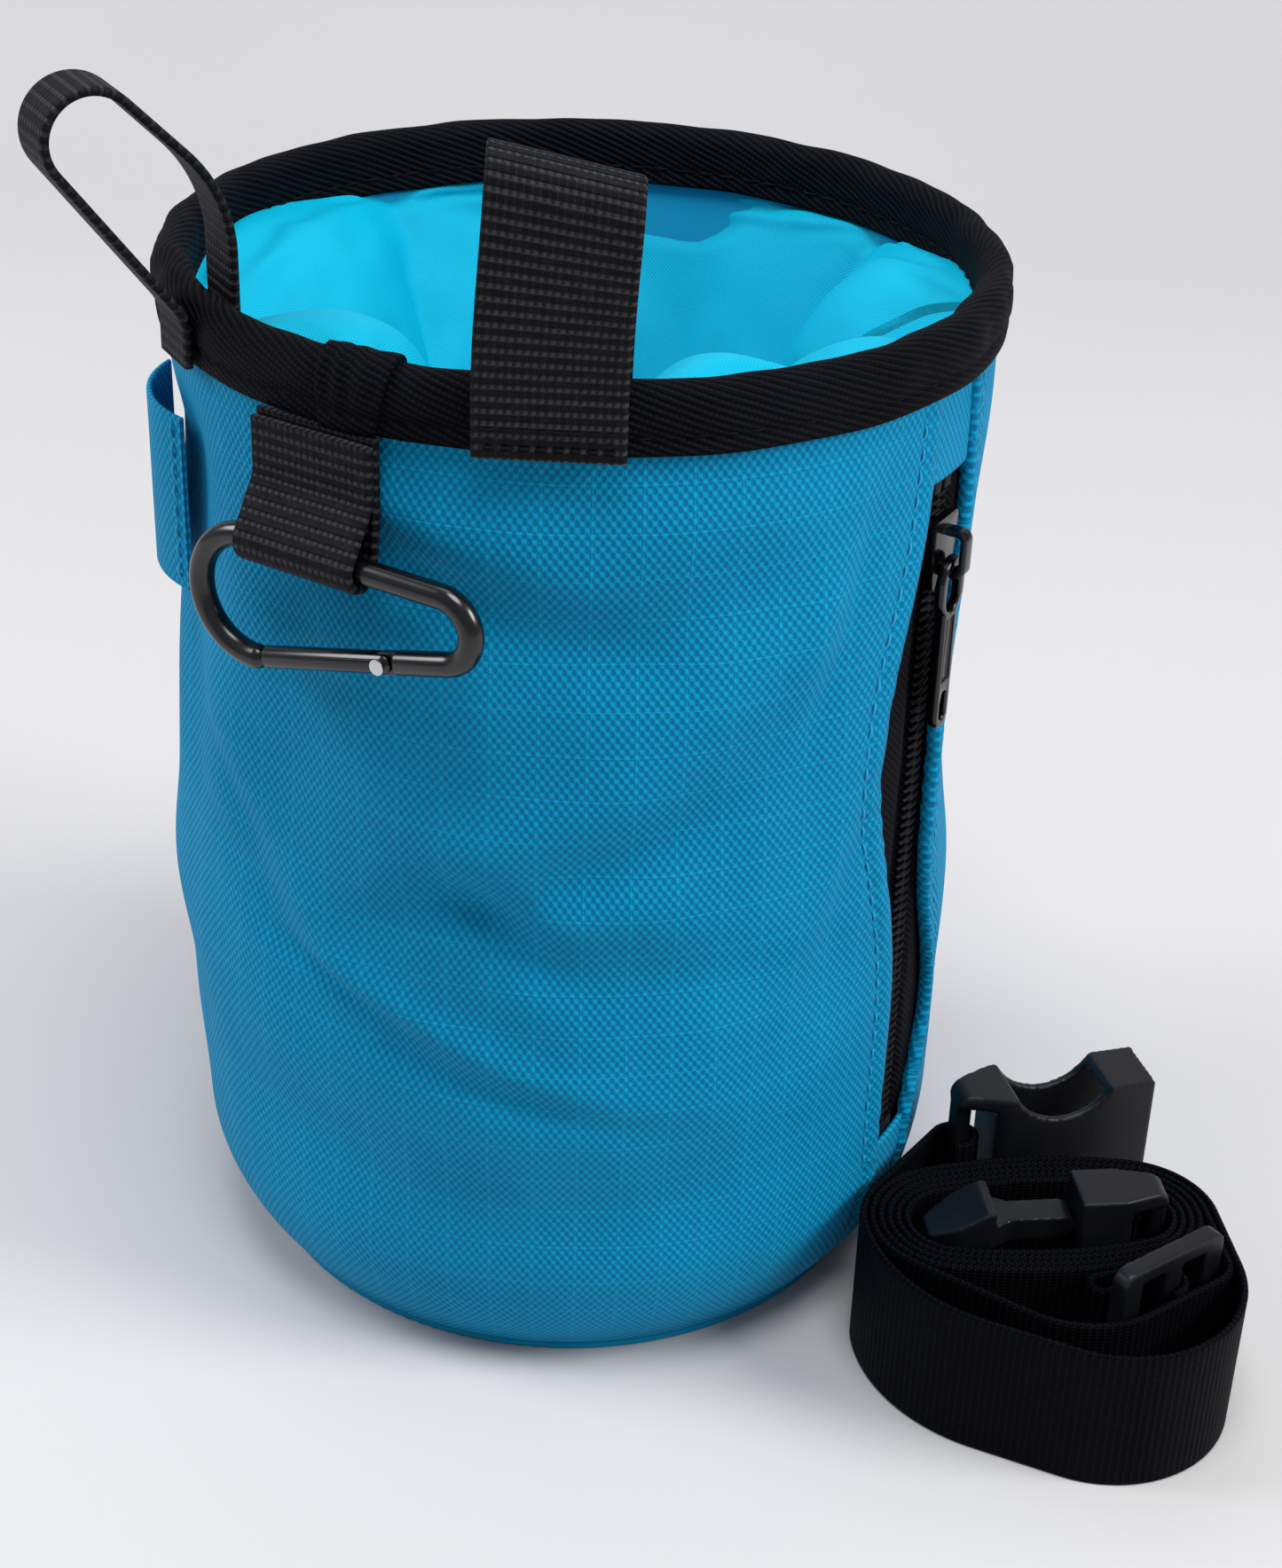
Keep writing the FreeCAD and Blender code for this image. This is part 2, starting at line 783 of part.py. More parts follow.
def make_stops():
    gap = s.tape_gap / 2
    far = s.tooth_length + s.cord_width
    stop_front = tape_front + s.tooth_height + s.slider_clearance
    high = zip_top - s.seam_gap * 2
    low = high - s.stop_length
    left = box("stop_left", (tape_front, -far, low), (stop_front, -gap, high))
    right = box("stop_right", (tape_front, gap, low), (stop_front, far, high))
    pair = doc.addObject("Part::Compound", "zip_top_stops")
    pair.Links = [left, right]
    around(keep(pair, "zip_top_stops"), s.zip_angle)
    bottom = box("zip_bottom_stop", (tape_front, -far, chain_bottom - s.stop_length),
                 (stop_front, far, chain_bottom - s.seam_gap))
    around(keep(bottom, "zip_bottom_stop"), s.zip_angle)


plate_back = tape_front + s.tooth_height + s.slider_clearance
plate_front = plate_back + s.slider_plate
slider_high = zip_top - s.slider_drop
slider_low = slider_high - s.slider_length


def slider_plate_outline(sketch, trim):
    """Broad shoulders where the rows part, and a narrow tail below."""
    half = s.slider_width / 2 - trim
    tail = half * 0.72
    shoulder = s.slider_length * 0.38
    top = slider_high - trim
    bottom = slider_low + trim
    corner = Size(1.2)
    outline(sketch, (-tail + corner, bottom),
            (tail - corner, bottom),
            (tail, bottom + corner, corner, 1),
            (half, top - shoulder),
            (half, top - corner),
            (half - corner, top, corner, 1),
            (-half + corner, top),
            (-half, top - corner, corner, 1),
            (-half, top - shoulder),
            (-tail, bottom + corner),
            (-tail + corner, bottom, corner, 1))


def make_slider():
    body = new_body("zip_slider")
    front = new_sketch(body, "YZ_Plane", "slider_front", plate_back)
    slider_plate_outline(front, ZERO)
    pad(body, front, s.slider_plate, "slider_front_plate")
    half = s.slider_width / 2
    flange = Size(0.8)
    for name, low, high in (("left", -half, -half + flange), ("right", half - flange, half)):
        side = new_sketch(body, "YZ_Plane", "slider_flange_" + name,
                          tape_front + s.slider_clearance)
        rectangle(side, low, slider_high - s.slider_length * 0.36, high, slider_high - flange)
        pad(body, side, plate_back - tape_front, "slider_flange_pad_" + name)
    neck = new_sketch(body, "YZ_Plane", "slider_neck", tape_offset - s.slider_clearance)
    neck_half = s.tape_gap / 2 - s.slider_clearance
    rectangle(neck, -neck_half, slider_high - s.slider_length / 3, neck_half,
              slider_high - flange)
    pad(body, neck, plate_back - tape_offset + s.slider_clearance, "slider_neck_pad")
    back = new_sketch(body, "YZ_Plane", "slider_back",
                      tape_offset - s.slider_clearance - s.slider_plate)
    slider_plate_outline(back, Size(0.6))
    pad(body, back, s.slider_plate, "slider_back_plate")
    bail = new_sketch(body, "XZ_Plane", "slider_bail")
    foot = plate_front - s.slider_plate / 2
    reach = plate_front + s.bail_height
    wall = s.bail_wall
    bend = Size(1.6)
    high = slider_high - Size(1.4)
    low = slider_low + Size(2.2)
    outline(bail, (foot, low),
            (reach - bend, low),
            (reach, low + bend, bend, 1),
            (reach, high - bend),
            (reach - bend, high, bend, 1),
            (foot, high),
            (foot, high - wall),
            (reach - bend, high - wall),
            (reach - wall, high - bend, bend - wall, -1),
            (reach - wall, low + bend),
            (reach - bend, low + wall, bend - wall, -1),
            (foot, low + wall))
    pad(body, bail, s.bail_width, "slider_bail_pad", symmetric=True)
    around(body, s.zip_angle)
    return low + wall


def make_pull(bail_floor):
    """The pull: a ring through the bail and a tab with a slot near its end."""
    body = new_body("zip_pull")
    wire = s.pull_wire
    thickness = wire - Size(0.2)
    level = plate_front + (s.bail_height - s.bail_wall) / 2 - thickness / 2
    sketch = new_sketch(body, "YZ_Plane", "pull_outline", level)
    half = s.pull_ring_width / 2
    tab = s.pull_tab_width / 2
    top = bail_floor + wire + Size(0.5)
    ring_low = top - s.pull_ring_height
    tab_low = ring_low - s.pull_tab_length + tab
    outline(sketch, (tab, tab_low),
            (tab, ring_low),
            (half, ring_low + (half - tab)),
            (half, top - half),
            (-half, top - half, None, 1),
            (-half, ring_low + (half - tab)),
            (-tab, ring_low),
            (-tab, tab_low),
            (tab, tab_low, None, 1))
    eye = half - wire
    outline(sketch, (eye, ring_low + wire * 1.4),
            (eye, top - half),
            (-eye, top - half, None, 1),
            (-eye, ring_low + wire * 1.4),
            (eye, ring_low + wire * 1.4, None, 1))
    slot = s.pull_hole_width / 2
    slot_low = tab_low + Size(0.3)
    outline(sketch, (slot, slot_low),
            (slot, slot_low + s.pull_hole_length - slot * 2),
            (-slot, slot_low + s.pull_hole_length - slot * 2, None, 1),
            (-slot, slot_low),
            (slot, slot_low, None, 1))
    pad(body, sketch, thickness, "pull_thickness")
    relief = new_sketch(body, "YZ_Plane", "pull_relief", level + thickness)
    rim = Size(0.9)
    rectangle(relief, -tab + rim, slot_low + s.pull_hole_length + rim, tab - rim,
              ring_low - rim)
    pocket(body, relief, Size(0.35), "pull_relief_cut")
    around(body, s.zip_angle)


def make_lining():
    """The wall of the flat pocket behind the zip."""
    body = new_body("pocket_lining")
    sketch = new_sketch(body, "XZ_Plane", "lining_profile")
    high = binding_foot - s.liner_flare_height - s.seam_gap * 5
    rectangle(sketch, lining_radius - s.lining_wall, s.lining_bottom, lining_radius, high)
    revolve(body, sketch, s.lining_sweep, "lining_turn")
    around(body, s.zip_angle)


# Carabiner, drawn in the plane that stands off the bag, +Y along its length

def make_carabiner_loop():
    body = new_body("carabiner_loop")
    sketch = new_sketch(body, "XZ_Plane", "carabiner_loop_profile")
    hole_radius = s.carabiner_rod / 2 + s.eye_clearance
    outer = hole_radius + s.eye_wall
    centre = carabiner_offset
    inner_face = s.shell_radius + s.seam_gap * 2.5
    outer_face = inner_face + s.eye_wall * 2
    top = binding_foot - s.seam_gap - s.eye_wall
    shoulder = Size(0.866)
    outline(sketch, (inner_face, top),
            (inner_face, spine_height + outer * 1.2),
            (centre - outer, spine_height),
            (centre + outer, spine_height, None, 1),
            (centre + outer / 2, spine_height + outer * shoulder, outer, 1),
            (outer_face, spine_height + outer * 1.6),
            (outer_face, top),
            (inner_face, top, None, 1))
    hole(sketch, centre, spine_height, hole_radius)
    pad(body, sketch, s.front_loop_width, "carabiner_loop_width", symmetric=True)
    around(body, s.carabiner_angle)


def on_plane(y, z):
    return Vector(carabiner_offset.value, y, z)


def make_carabiner():
    radii = (s.big_end_radius.value, s.small_end_radius.value)
    centres = ((s.big_end_place.value, spine_height.value - radii[0]),
               (s.small_end_place.value, spine_height.value - radii[1]))
    between = (centres[1][0] - centres[0][0], centres[1][1] - centres[0][1])
    distance = math.hypot(*between)
    slant = math.atan2(between[1], between[0])
    low_normal = slant - math.acos((radii[0] - radii[1]) / distance)
    top_normal = math.pi / 2

    def rim(end, angle):
        return on_plane(centres[end][0] + radii[end] * math.cos(angle),
                        centres[end][1] + radii[end] * math.sin(angle))

    def bend(end, first, last):
        return Part.Arc(rim(end, first), rim(end, (first + last) / 2), rim(end, last)).toShape()

    nose_angle = low_normal - math.radians(12)
    gate_run = (rim(1, low_normal) - rim(0, low_normal)).normalize()
    hinge_line = rim(0, low_normal)
    rivet = hinge_line + gate_run * ((s.rivet_place.value - hinge_line.y) / gate_run.y)
    rod = s.carabiner_rod.value / 2
    tongue = s.carabiner_rod.value * 0.34
    eye = rod * 0.9
    shank_end = rivet + gate_run * (rod + 0.8)
    half_turn = top_normal - 2 * math.pi
    edges = [bend(0, nose_angle, half_turn),
             Part.LineSegment(rim(0, top_normal), rim(1, top_normal)).toShape(),
             bend(1, top_normal, low_normal),
             Part.LineSegment(rim(1, low_normal), shank_end).toShape()]
    nose = rim(0, nose_angle)
    away = Vector(0, math.sin(nose_angle), -math.cos(nose_angle))
    ring = Part.Wire(Part.Circle(nose, away, rod).toShape())
    frame = Part.Wire(edges).makePipeShell([ring], True, True)
    across = Vector(1, 0, 0)
    plate = Part.makeCylinder(eye, tongue, rivet - across * (tongue / 2), across)
    up_along = gate_run.cross(across)
    arm = Part.makeBox(tongue, 2 * eye, shank_end.distanceToPoint(rivet) + 1)
    arm.Placement = Placement(rivet - across * (tongue / 2) - up_along * eye,
                              Rotation(across, up_along, gate_run, "XYZ"))
    tip = Part.makeSphere(rod, nose)
    pin_hole = Part.makeCylinder(s.rivet_radius.value + 0.05, 6, rivet - across * 3, across)
    body = frame.fuse([plate, arm, tip]).cut(pin_hole).removeSplitter()
    around(solid_part("carabiner_body", body.Solids[0]), s.carabiner_angle)

    gate = s.gate_rod.value / 2
    reach = rivet.distanceToPoint(nose) - rod - s.eye_clearance.value
    to_nose = (nose - rivet).normalize()
    bar = Part.makeCylinder(gate, reach, rivet, to_nose)
    slot = Part.makeBox(tongue + 0.5, 6, eye + 0.5 + gate)
    side = to_nose.cross(across)
    slot.Placement = Placement(rivet - across * (tongue / 2 + 0.25) - side * 3
                               - to_nose * gate, Rotation(across, side, to_nose, "XYZ"))
    knuckle = Part.makeSphere(gate, rivet)
    lever = bar.fuse(knuckle).cut(slot).cut(pin_hole).removeSplitter()
    around(solid_part("carabiner_gate", lever.Solids[0]), s.carabiner_angle)

    pin_length = s.carabiner_rod.value
    shaft = Part.makeCylinder(s.rivet_radius.value, pin_length,
                              rivet - across * (pin_length / 2), across)
    heads = [Part.makeCylinder(s.rivet_radius.value * 1.6, 0.35,
                               rivet + across * place, across)
             for place in (-pin_length / 2 - 0.35, pin_length / 2)]
    around(solid_part("gate_rivet", shaft.fuse(heads).removeSplitter().Solids[0]),
           s.carabiner_angle)
    return rivet


# Rolled belt, drawn in its own frame: +X along the roll, +Y towards the bag

def on_roll(item):
    """Set a piece drawn in the roll's frame in its place beside the bag."""
    reach = s.shell_radius.value + s.roll_standoff.value
    middle = Rotation(UP, s.roll_place_angle.value).multVec(Vector(reach, 0, 0))
    place = Placement(middle, Rotation(UP, s.roll_tilt.value))
    item.Placement = place.multiply(item.Placement)


def normal_at(angle):
    return (math.cos(math.radians(angle)), math.sin(math.radians(angle)))


def solve_turn(centre, turn, target):
    """Find the two open straight lengths of a turn so that its last arc is centred on the
    target. Items are (radius, first normal, last normal), and (length or None, normal) for a
    line between arcs. The result is a list of pieces for march."""
    x, y = centre
    last_radius = None
    runs = []
    for item in turn:
        if len(item) == 3:
            if last_radius is not None:
                nx, ny = normal_at(item[1])
                x += (last_radius - item[0]) * nx
                y += (last_radius - item[0]) * ny
            last_radius = item[0]
            continue
        hx, hy = normal_at(item[1] - QUARTER)
        if item[0] is None:
            runs.append((hx, hy))
        else:
            x += item[0] * hx
            y += item[0] * hy
    dx, dy = target[0] - x, target[1] - y
    (ax, ay), (bx, by) = runs
    area = ax * by - bx * ay
    lengths = [(dx * by - dy * bx) / area, (ax * dy - ay * dx) / area]
    pieces = []
    for item in turn:
        if len(item) == 3:
            pieces.append((item[0], item[1] - item[2]))
        else:
            pieces.append((lengths.pop(0) if item[0] is None else item[0], None))
    return pieces


def turned(item, place, angle):
    """Move a piece to a place in the roll's frame, turned by an angle."""
    item.Placement = Placement(Vector(place[0], place[1], 0), Rotation(UP, angle)).multiply(
        item.Placement)
    on_roll(item)


def notch(shape, low_x, high_x, half_depth, height, place, angle):
    """Clear the strap's lower edge where it passes the side rail of a buckle."""
    rail = Part.makeBox(high_x - low_x, 2 * half_depth, height, Vector(low_x, -half_depth, 0))
    rail.Placement = Placement(Vector(place[0], place[1], 0), Rotation(UP, angle))
    return shape.cut(rail)


def arc_centre(step):
    """The centre of one clockwise arc."""
    x, y, angle = step[0]
    radius = step[3]
    return x + radius * math.sin(angle), y - radius * math.cos(angle)


def make_belt():
    """One unbroken strap: from the buckle's bar in the core outwards, two loose turns, and
    across behind the roll to the socket's bar. Returns the places of what hangs on it."""
    growth = s.belt_pitch.value / 4
    thick = s.belt_thickness.value
    sweep = s.roll_crown_sweep.value
    out = QUARTER - sweep / 2
    back = -HALF - out
    hook = bar_reach(s.buckle_bar.value) + s.strap_clearance.value + thick / 2

    def crown(turn):
        return (s.roll_crown_radius.value + growth * turn, sweep)

    def end(turn):
        return s.roll_end_radius.value + growth * turn

    core = [(2.0, None), (hook, HALF), (end(-1), out)]
    core += [crown(turn) if turn % 2 == 0 else (end(turn), HALF - sweep) for turn in range(15)]
    start = (14.0, -2.0)
    steps = march(core, start, QUARTER)
    left = arc_centre(steps[-2])

    def right_centre(turn):
        x, y = march(pieces, start, QUARTER)[-1][2][:2]
        across, along = normal_at(out)
        return x - end(turn) * across, y - end(turn) * along

    pieces = list(core)
    adjuster_normal = -61.0
    pieces += solve_turn(right_centre(15), [(end(15), out, 0), (None, 0),
                                            (4.5, 0, adjuster_normal), (15.0, adjuster_normal),
                                            (16.0, adjuster_normal, -130), (None, -130),
                                            (end(17), -130, back)], left)
    run_place = len(core) + 3
    pieces.append(crown(18))
    pieces += solve_turn(right_centre(19), [(end(19), out, 0), (None, 0), (20.0, 0, -120),
                                            (None, -120), (28.0, -120, -180),
                                            (end(21), -180, -222)], left)
    socket_hook = bar_reach(s.buckle_bar.value) + s.strap_clearance.value + thick / 2
    socket_heading = 8.5
    pieces += [(18.4, None), (4.0, 48.0 - socket_heading), (0.5, None),
               (socket_hook, HALF), (1.6, None)]
    steps = march(pieces, start, QUARTER)
    shape = ribbon(steps, thick, s.belt_width.value)

    buckle = arc_centre(steps[1])
    socket = arc_centre(steps[-2])
    slot = s.buckle_bar.value / 2 + s.buckle_slot.value
    rail = s.buckle_wall.value + s.strap_clearance.value
    margin = s.strap_clearance.value
    bar_end = s.buckle_bar.value / 2
    half_depth = s.buckle_thickness.value / 2
    shape = notch(shape, -slot - margin, bar_end + margin, half_depth, rail, buckle, 0)
    shape = notch(shape, -bar_end - margin, slot + margin, half_depth, rail, socket,
                  socket_heading)
    on_roll(solid_part("belt_webbing", shape.Solids[0]))
    gap, length = least_gap(steps, thick)
    print("belt: %.2f m of strap, least gap to itself %.2f mm" % (length / 1000, gap))
    return buckle, socket, socket_heading, steps[run_place], adjuster_normal


def bar_reach(width):
    """From the middle of a flat bar to its corner."""
    return math.hypot(width / 2, s.bar_thickness.value / 2)


# Side release buckle, its length along X from the bar, standing on one edge

def buckle_frame(body, name, toward, length, width, depth):
    """The tapered end with the bar that the strap goes round. The rest of the length runs
    toward 1 or -1 along X."""
    sketch = new_sketch(body, "XY_Plane", name + "_plan")
    bar = s.buckle_bar / 2
    thin = bar * 1.8
    taper = bar + s.buckle_slot + Size(1.5)
    half = depth / 2
    near, slope, far = -bar * toward, taper * toward, (length - bar) * toward
    corners = [(near, -thin), (near, thin), (slope, half), (far, half), (far, -half),
               (slope, -half)]
    outline(sketch, *corners)
    pad(body, sketch, width, name + "_block")
    slot = new_sketch(body, "XZ_Plane", name + "_slot")
    low, high = s.buckle_wall, width - s.buckle_wall
    edge = sorted((bar * toward, (bar + s.buckle_slot) * toward), key=float)
    rectangle(slot, edge[0], low, edge[1], high)
    pocket(body, slot, depth * 2, name + "_slot_cut", symmetric=True)
    faces = new_sketch(body, "XY_Plane", name + "_bar_faces", high)
    bar_half = s.bar_thickness / 2
    first, second = sorted((near * 1.02, bar * toward), key=float)
    rectangle(faces, first, bar_half, second, thin + Size(1))
    rectangle(faces, first, -thin - Size(1), second, -bar_half)
    return pocket(body, faces, high - low, name + "_bar_cut")


def outer_corners(height, x_place):
    """A test for the edges across the thickness at the four outer corners."""
    def wanted(edge):
        box_of = edge.BoundBox
        flat = box_of.XLength < 1e-3 and box_of.ZLength < 1e-3
        level = min(abs(box_of.ZMin), abs(box_of.ZMin - height.value)) < 1e-3
        return flat and level and min(abs(box_of.XMin - x) for x in x_place) < 1e-3
    return wanted


def make_male(place):
    body = new_body("buckle_male")
    length = s.buckle_block
    frame = buckle_frame(body, "male", -1, length, s.buckle_width, s.buckle_thickness)
    face = s.buckle_bar / 2 - length
    guide = new_sketch(body, "XZ_Plane", "male_guide")
    middle = s.buckle_width / 2
    half = s.arm_width / 2
    tip = face - s.barb_length * 1.7
    outline(guide, (face + Size(1), middle - half),
            (face + Size(1), middle + half),
            (tip, middle + half * 0.6),
            (tip, middle - half * 0.6))
    guide_pad = pad(body, guide, s.bar_thickness, "male_guide_pad", symmetric=True)
    round_edges(body, guide_pad, Size(2.2), "male_corners",
                outer_corners(s.buckle_width, (s.buckle_bar.value / 2,)))
    turned(body, place, 0)

    for name, flip in (("buckle_arm_upper", 1), ("buckle_arm_lower", -1)):
        arm = new_body(name)
        plan = new_sketch(arm, "XZ_Plane", name + "_plan")
        root_x = face - s.arm_gap - half
        inner = s.buckle_width / 2 + (middle - s.barb_width - Size(1.4)) * flip
        outer = inner + s.arm_width * flip
        shoulder = inner + s.barb_width * flip
        end_x = s.buckle_bar / 2 - s.buckle_length
        step_x = end_x + s.barb_length
        low, high = (inner, outer) if flip > 0 else (outer, inner)
        turn = -1 if flip > 0 else 1
        outline(plan, (root_x, inner),
                (root_x + half, (inner + outer) / 2, half, -turn),
                (root_x, outer, half, -turn),
                (step_x, outer),
                (step_x, shoulder),
                (step_x - Size(1.5), shoulder),
                (end_x, inner + Size(1.6) * flip),
                (end_x, inner))
        pad(arm, plan, s.buckle_thickness, name + "_pad", symmetric=True)
        sides = new_sketch(arm, "XY_Plane", name + "_sides", s.buckle_width + Size(5))
        wide = s.buckle_thickness / 2
        neck = s.buckle_thickness * 0.28
        far = wide + Size(2)
        for side in (1, -1):
            outline(sides, (root_x + half + Size(1), neck * side),
                    (root_x + half + Size(1), far * side),
                    (end_x - Size(1), far * side),
                    (end_x - Size(1), neck * side),
                    (end_x, neck * side),
                    (end_x + s.barb_length * 0.45, wide * side),
                    (step_x - Size(0.6), wide * side),
                    (step_x + Size(3), neck * side))
        pocket(arm, sides, s.buckle_width + Size(10), name + "_side_cut")
        turned(arm, place, 0)
    return root_x, inner, outer


def make_female(place, angle):
    body = new_body("buckle_female")
    length = s.socket_length
    width = s.socket_width
    depth = s.socket_thickness
    buckle_frame(body, "female", 1, length, width, depth)
    bar = s.buckle_bar / 2
    mouth = length - bar
    cavity = new_sketch(body, "XZ_Plane", "female_cavity")
    inside = bar + s.buckle_slot + s.socket_wall * 2
    wall = s.socket_wall
    rectangle(cavity, inside, wall, mouth + Size(1), width - wall)
    pocket(body, cavity, depth - wall * 2, "female_cavity_cut", symmetric=True)
    saddles = new_sketch(body, "XZ_Plane", "female_saddles")
    middle = length / 2 - bar * 0.5
    radius = s.saddle_radius
    hole(saddles, middle, width + radius - s.saddle_depth, radius)
    hole(saddles, middle, s.saddle_depth - radius, radius)
    last = pocket(body, saddles, depth * 2, "female_saddle_cut", symmetric=True)
    round_edges(body, last, Size(2.2), "female_corners",
                outer_corners(width, (-bar.value,)))
    turned(body, place, angle)


def make_adjuster(run, normal):
    """The three-bar strap adjuster beside the belt's front run, and the folded tail."""
    (x0, y0, angle0), middle, (x1, y1, angle1), radius = run
    nx, ny = normal_at(normal)
    off = 4.4
    place = ((x0 + x1) / 2 - off * nx, (y0 + y1) / 2 - off * ny)
    angle = normal + QUARTER
    body = new_body("tri_glide")
    sketch = new_sketch(body, "XZ_Plane", "adjuster_outline")
    half = s.adjuster_length / 2
    width = s.buckle_width
    corner = Size(2.0)
    outline(sketch, (-half + corner, ZERO),
            (half - corner, ZERO),
            (half, corner, corner, 1),
            (half, width - corner),
            (half - corner, width, corner, 1),
            (-half + corner, width),
            (-half, width - corner, corner, 1),
            (-half, corner),
            (-half + corner, ZERO, corner, 1))
    low, high = s.buckle_wall, width - s.buckle_wall
    bar = s.adjuster_bar / 2
    rectangle(sketch, bar, low, half - s.adjuster_rail, high)
    rectangle(sketch, -half + s.adjuster_rail, low, -bar, high)
    pad(body, sketch, s.adjuster_thickness, "adjuster_pad", symmetric=True)
    turned(body, place, angle)

    thick = s.belt_thickness.value
    hook = math.hypot(bar.value, s.adjuster_thickness.value / 2) + thick / 2
    hook += s.strap_clearance.value
    fold = [(1.2, None), (hook, -HALF), (8.5, None), (1.9, HALF + 19), (5.0, None)]
    steps = march(fold, (-1.2, -hook), 0)
    shape = ribbon(steps, thick, s.belt_width.value)
    rail = s.buckle_wall.value + s.strap_clearance.value
    shape = notch(shape, -half.value, half.value,
                  s.adjuster_thickness.value / 2 + s.strap_clearance.value, rail, (0, 0), 0)
    tail = solid_part("belt_tail", shape.Solids[0])
    turned(tail, place, angle)


make_base()
make_shell()
make_liner()
make_rim()
make_collar()
make_front_loop()
make_side_loop()
make_sleeve()
make_tapes()
make_coil("zip_coil_left", -1, ZERO)
make_coil("zip_coil_right", 1, s.tooth_pitch / 2)
make_stops()
make_pull(make_slider())
make_lining()
make_carabiner_loop()
make_carabiner()
buckle_place, socket_place, socket_angle, front_run, run_normal = make_belt()
make_male(buckle_place)
make_female(socket_place, socket_angle)
make_adjuster(front_run, run_normal)

doc.recompute()
for item in doc.Objects:
    if {"Invalid", "Error"} & set(item.State):
        raise RuntimeError("%s: %s" % (item.Label, item.State))
for item in parts:
    if item.Shape.isNull() or not item.Shape.isValid() or not item.Shape.Solids:
        raise RuntimeError("bad shape: " + item.Label)

os.makedirs("parts", exist_ok=True)
for item in parts:
    item.Shape.exportStep("parts/%s.step" % item.Label)
print("%d pieces" % len(parts))
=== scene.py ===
import bpy
import math
import numpy as np
from mathutils import Matrix, Vector


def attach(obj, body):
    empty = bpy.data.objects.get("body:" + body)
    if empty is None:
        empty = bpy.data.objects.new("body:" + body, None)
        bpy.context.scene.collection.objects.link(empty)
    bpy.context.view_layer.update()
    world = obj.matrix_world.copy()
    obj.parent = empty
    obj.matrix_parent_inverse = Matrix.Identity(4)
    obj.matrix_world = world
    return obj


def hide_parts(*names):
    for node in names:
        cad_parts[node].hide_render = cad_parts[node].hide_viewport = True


# The looks of a chalk bag and its rolled belt. Lengths are in millimetres here
# and turn into metres when a mesh is made.

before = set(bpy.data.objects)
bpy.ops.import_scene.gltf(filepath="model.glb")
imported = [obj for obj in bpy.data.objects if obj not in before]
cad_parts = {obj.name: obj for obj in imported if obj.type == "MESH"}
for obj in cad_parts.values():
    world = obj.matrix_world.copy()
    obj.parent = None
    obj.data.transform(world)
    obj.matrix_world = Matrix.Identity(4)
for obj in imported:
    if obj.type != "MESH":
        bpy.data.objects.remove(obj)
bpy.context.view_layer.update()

MM = 0.001
DEGREE = math.radians(1)
# The wall, and the corner where it turns into the floor
SHELL_RADIUS = 60.8
CORNER_HEIGHT = 24.0
CORNER_RADIUS = 31.4
WALL_LOW, WALL_TOP = 1.8, 162.4
SEAM_ANGLE = 110.0
# The binding: its faces, its lower edge, and where it starts to turn over
RIM_RADIUS = 62.0
INNER_RADIUS = 57.0
RIM_HEIGHT = 166.5
FOOT = 157.0
CROWN = 164.0
STITCH_RISE = 2.6
# Webbing
WEBBING_THICKNESS = 1.3
WEBBING_GAP = 0.3
# Zip: its place round the bag and the ends of its opening
ZIP_ANGLE = -27.0
ZIP_LOW, ZIP_HIGH = 28.0, 143.0


# Meshes

def mesh_object(name, verts, faces, uv=None):
    """A mesh from points in mm. uv holds one pair per vertex, in mm along the cloth."""
    verts = np.asarray(verts, float).reshape(-1, 3) * MM
    data = bpy.data.meshes.new(name)
    data.from_pydata(verts.tolist(), [], faces)
    data.update()
    if uv is not None:
        layer = data.uv_layers.new(name="UVMap")
        index = np.zeros(len(data.loops), int)
        data.loops.foreach_get("vertex_index", index)
        pairs = np.asarray(uv, np.float32).reshape(-1, 2)
        layer.data.foreach_set("uv", pairs[index].ravel())
    data.polygons.foreach_set("use_smooth", [True] * len(data.polygons))
    item = bpy.data.objects.new(name, data)
    bpy.context.collection.objects.link(item)
    return item


def grid_faces(rows, columns, close_columns=False):
    """Quads of a grid whose vertices run along the columns first."""
    faces = []
    for i in range(rows - 1):
        for j in range(columns if close_columns else columns - 1):
            ahead = (j + 1) % columns
            low = i * columns
            high = low + columns
            faces.append((low + j, low + ahead, high + ahead, high + j))
    return faces


def joined(name, blocks):
    """One object from several (verts, faces, uv) blocks."""
    verts, faces, pairs = [], [], []
    start = 0
    for block_verts, block_faces, uv in blocks:
        block_verts = np.reshape(block_verts, (-1, 3))
        verts.append(block_verts)
        faces.extend(tuple(v + start for v in face) for face in block_faces)
        start += len(block_verts)
        if uv is not None:
            pairs.append(np.reshape(uv, (-1, 2)))
    return mesh_object(name, np.concatenate(verts), faces,
                       np.concatenate(pairs) if pairs else None)


def stacked(*parts):
    """Coordinates side by side in the last axis, each spread to the common shape."""
    return np.stack(np.broadcast_arrays(*parts), axis=-1)


def thicken(item, thickness):
    """Give a single layer of cloth its thickness, inwards, in mm."""
    cloth = item.modifiers.new("cloth", "SOLIDIFY")
    cloth.thickness = thickness * MM
    cloth.offset = -1


def polar(phi, radius, z):
    """A point round the bag's axis, phi in degrees."""
    turn = np.radians(phi)
    return stacked(radius * np.cos(turn), radius * np.sin(turn), z)


def placed(points, angle, origin=(0.0, 0.0)):
    """Turn points about the vertical axis by an angle in degrees, then move them."""
    turn = math.radians(angle)
    points = np.asarray(points, float)
    out = points.copy()
    out[..., 0] = origin[0] + points[..., 0] * math.cos(turn) - points[..., 1] * math.sin(turn)
    out[..., 1] = origin[1] + points[..., 0] * math.sin(turn) + points[..., 1] * math.cos(turn)
    return out


def smoothstep(value, low, high):
    """A soft step from 0 at low to 1 at high."""
    share = np.clip((np.asarray(value, float) - low) / (high - low), 0, 1)
    return share * share * (3 - 2 * share)


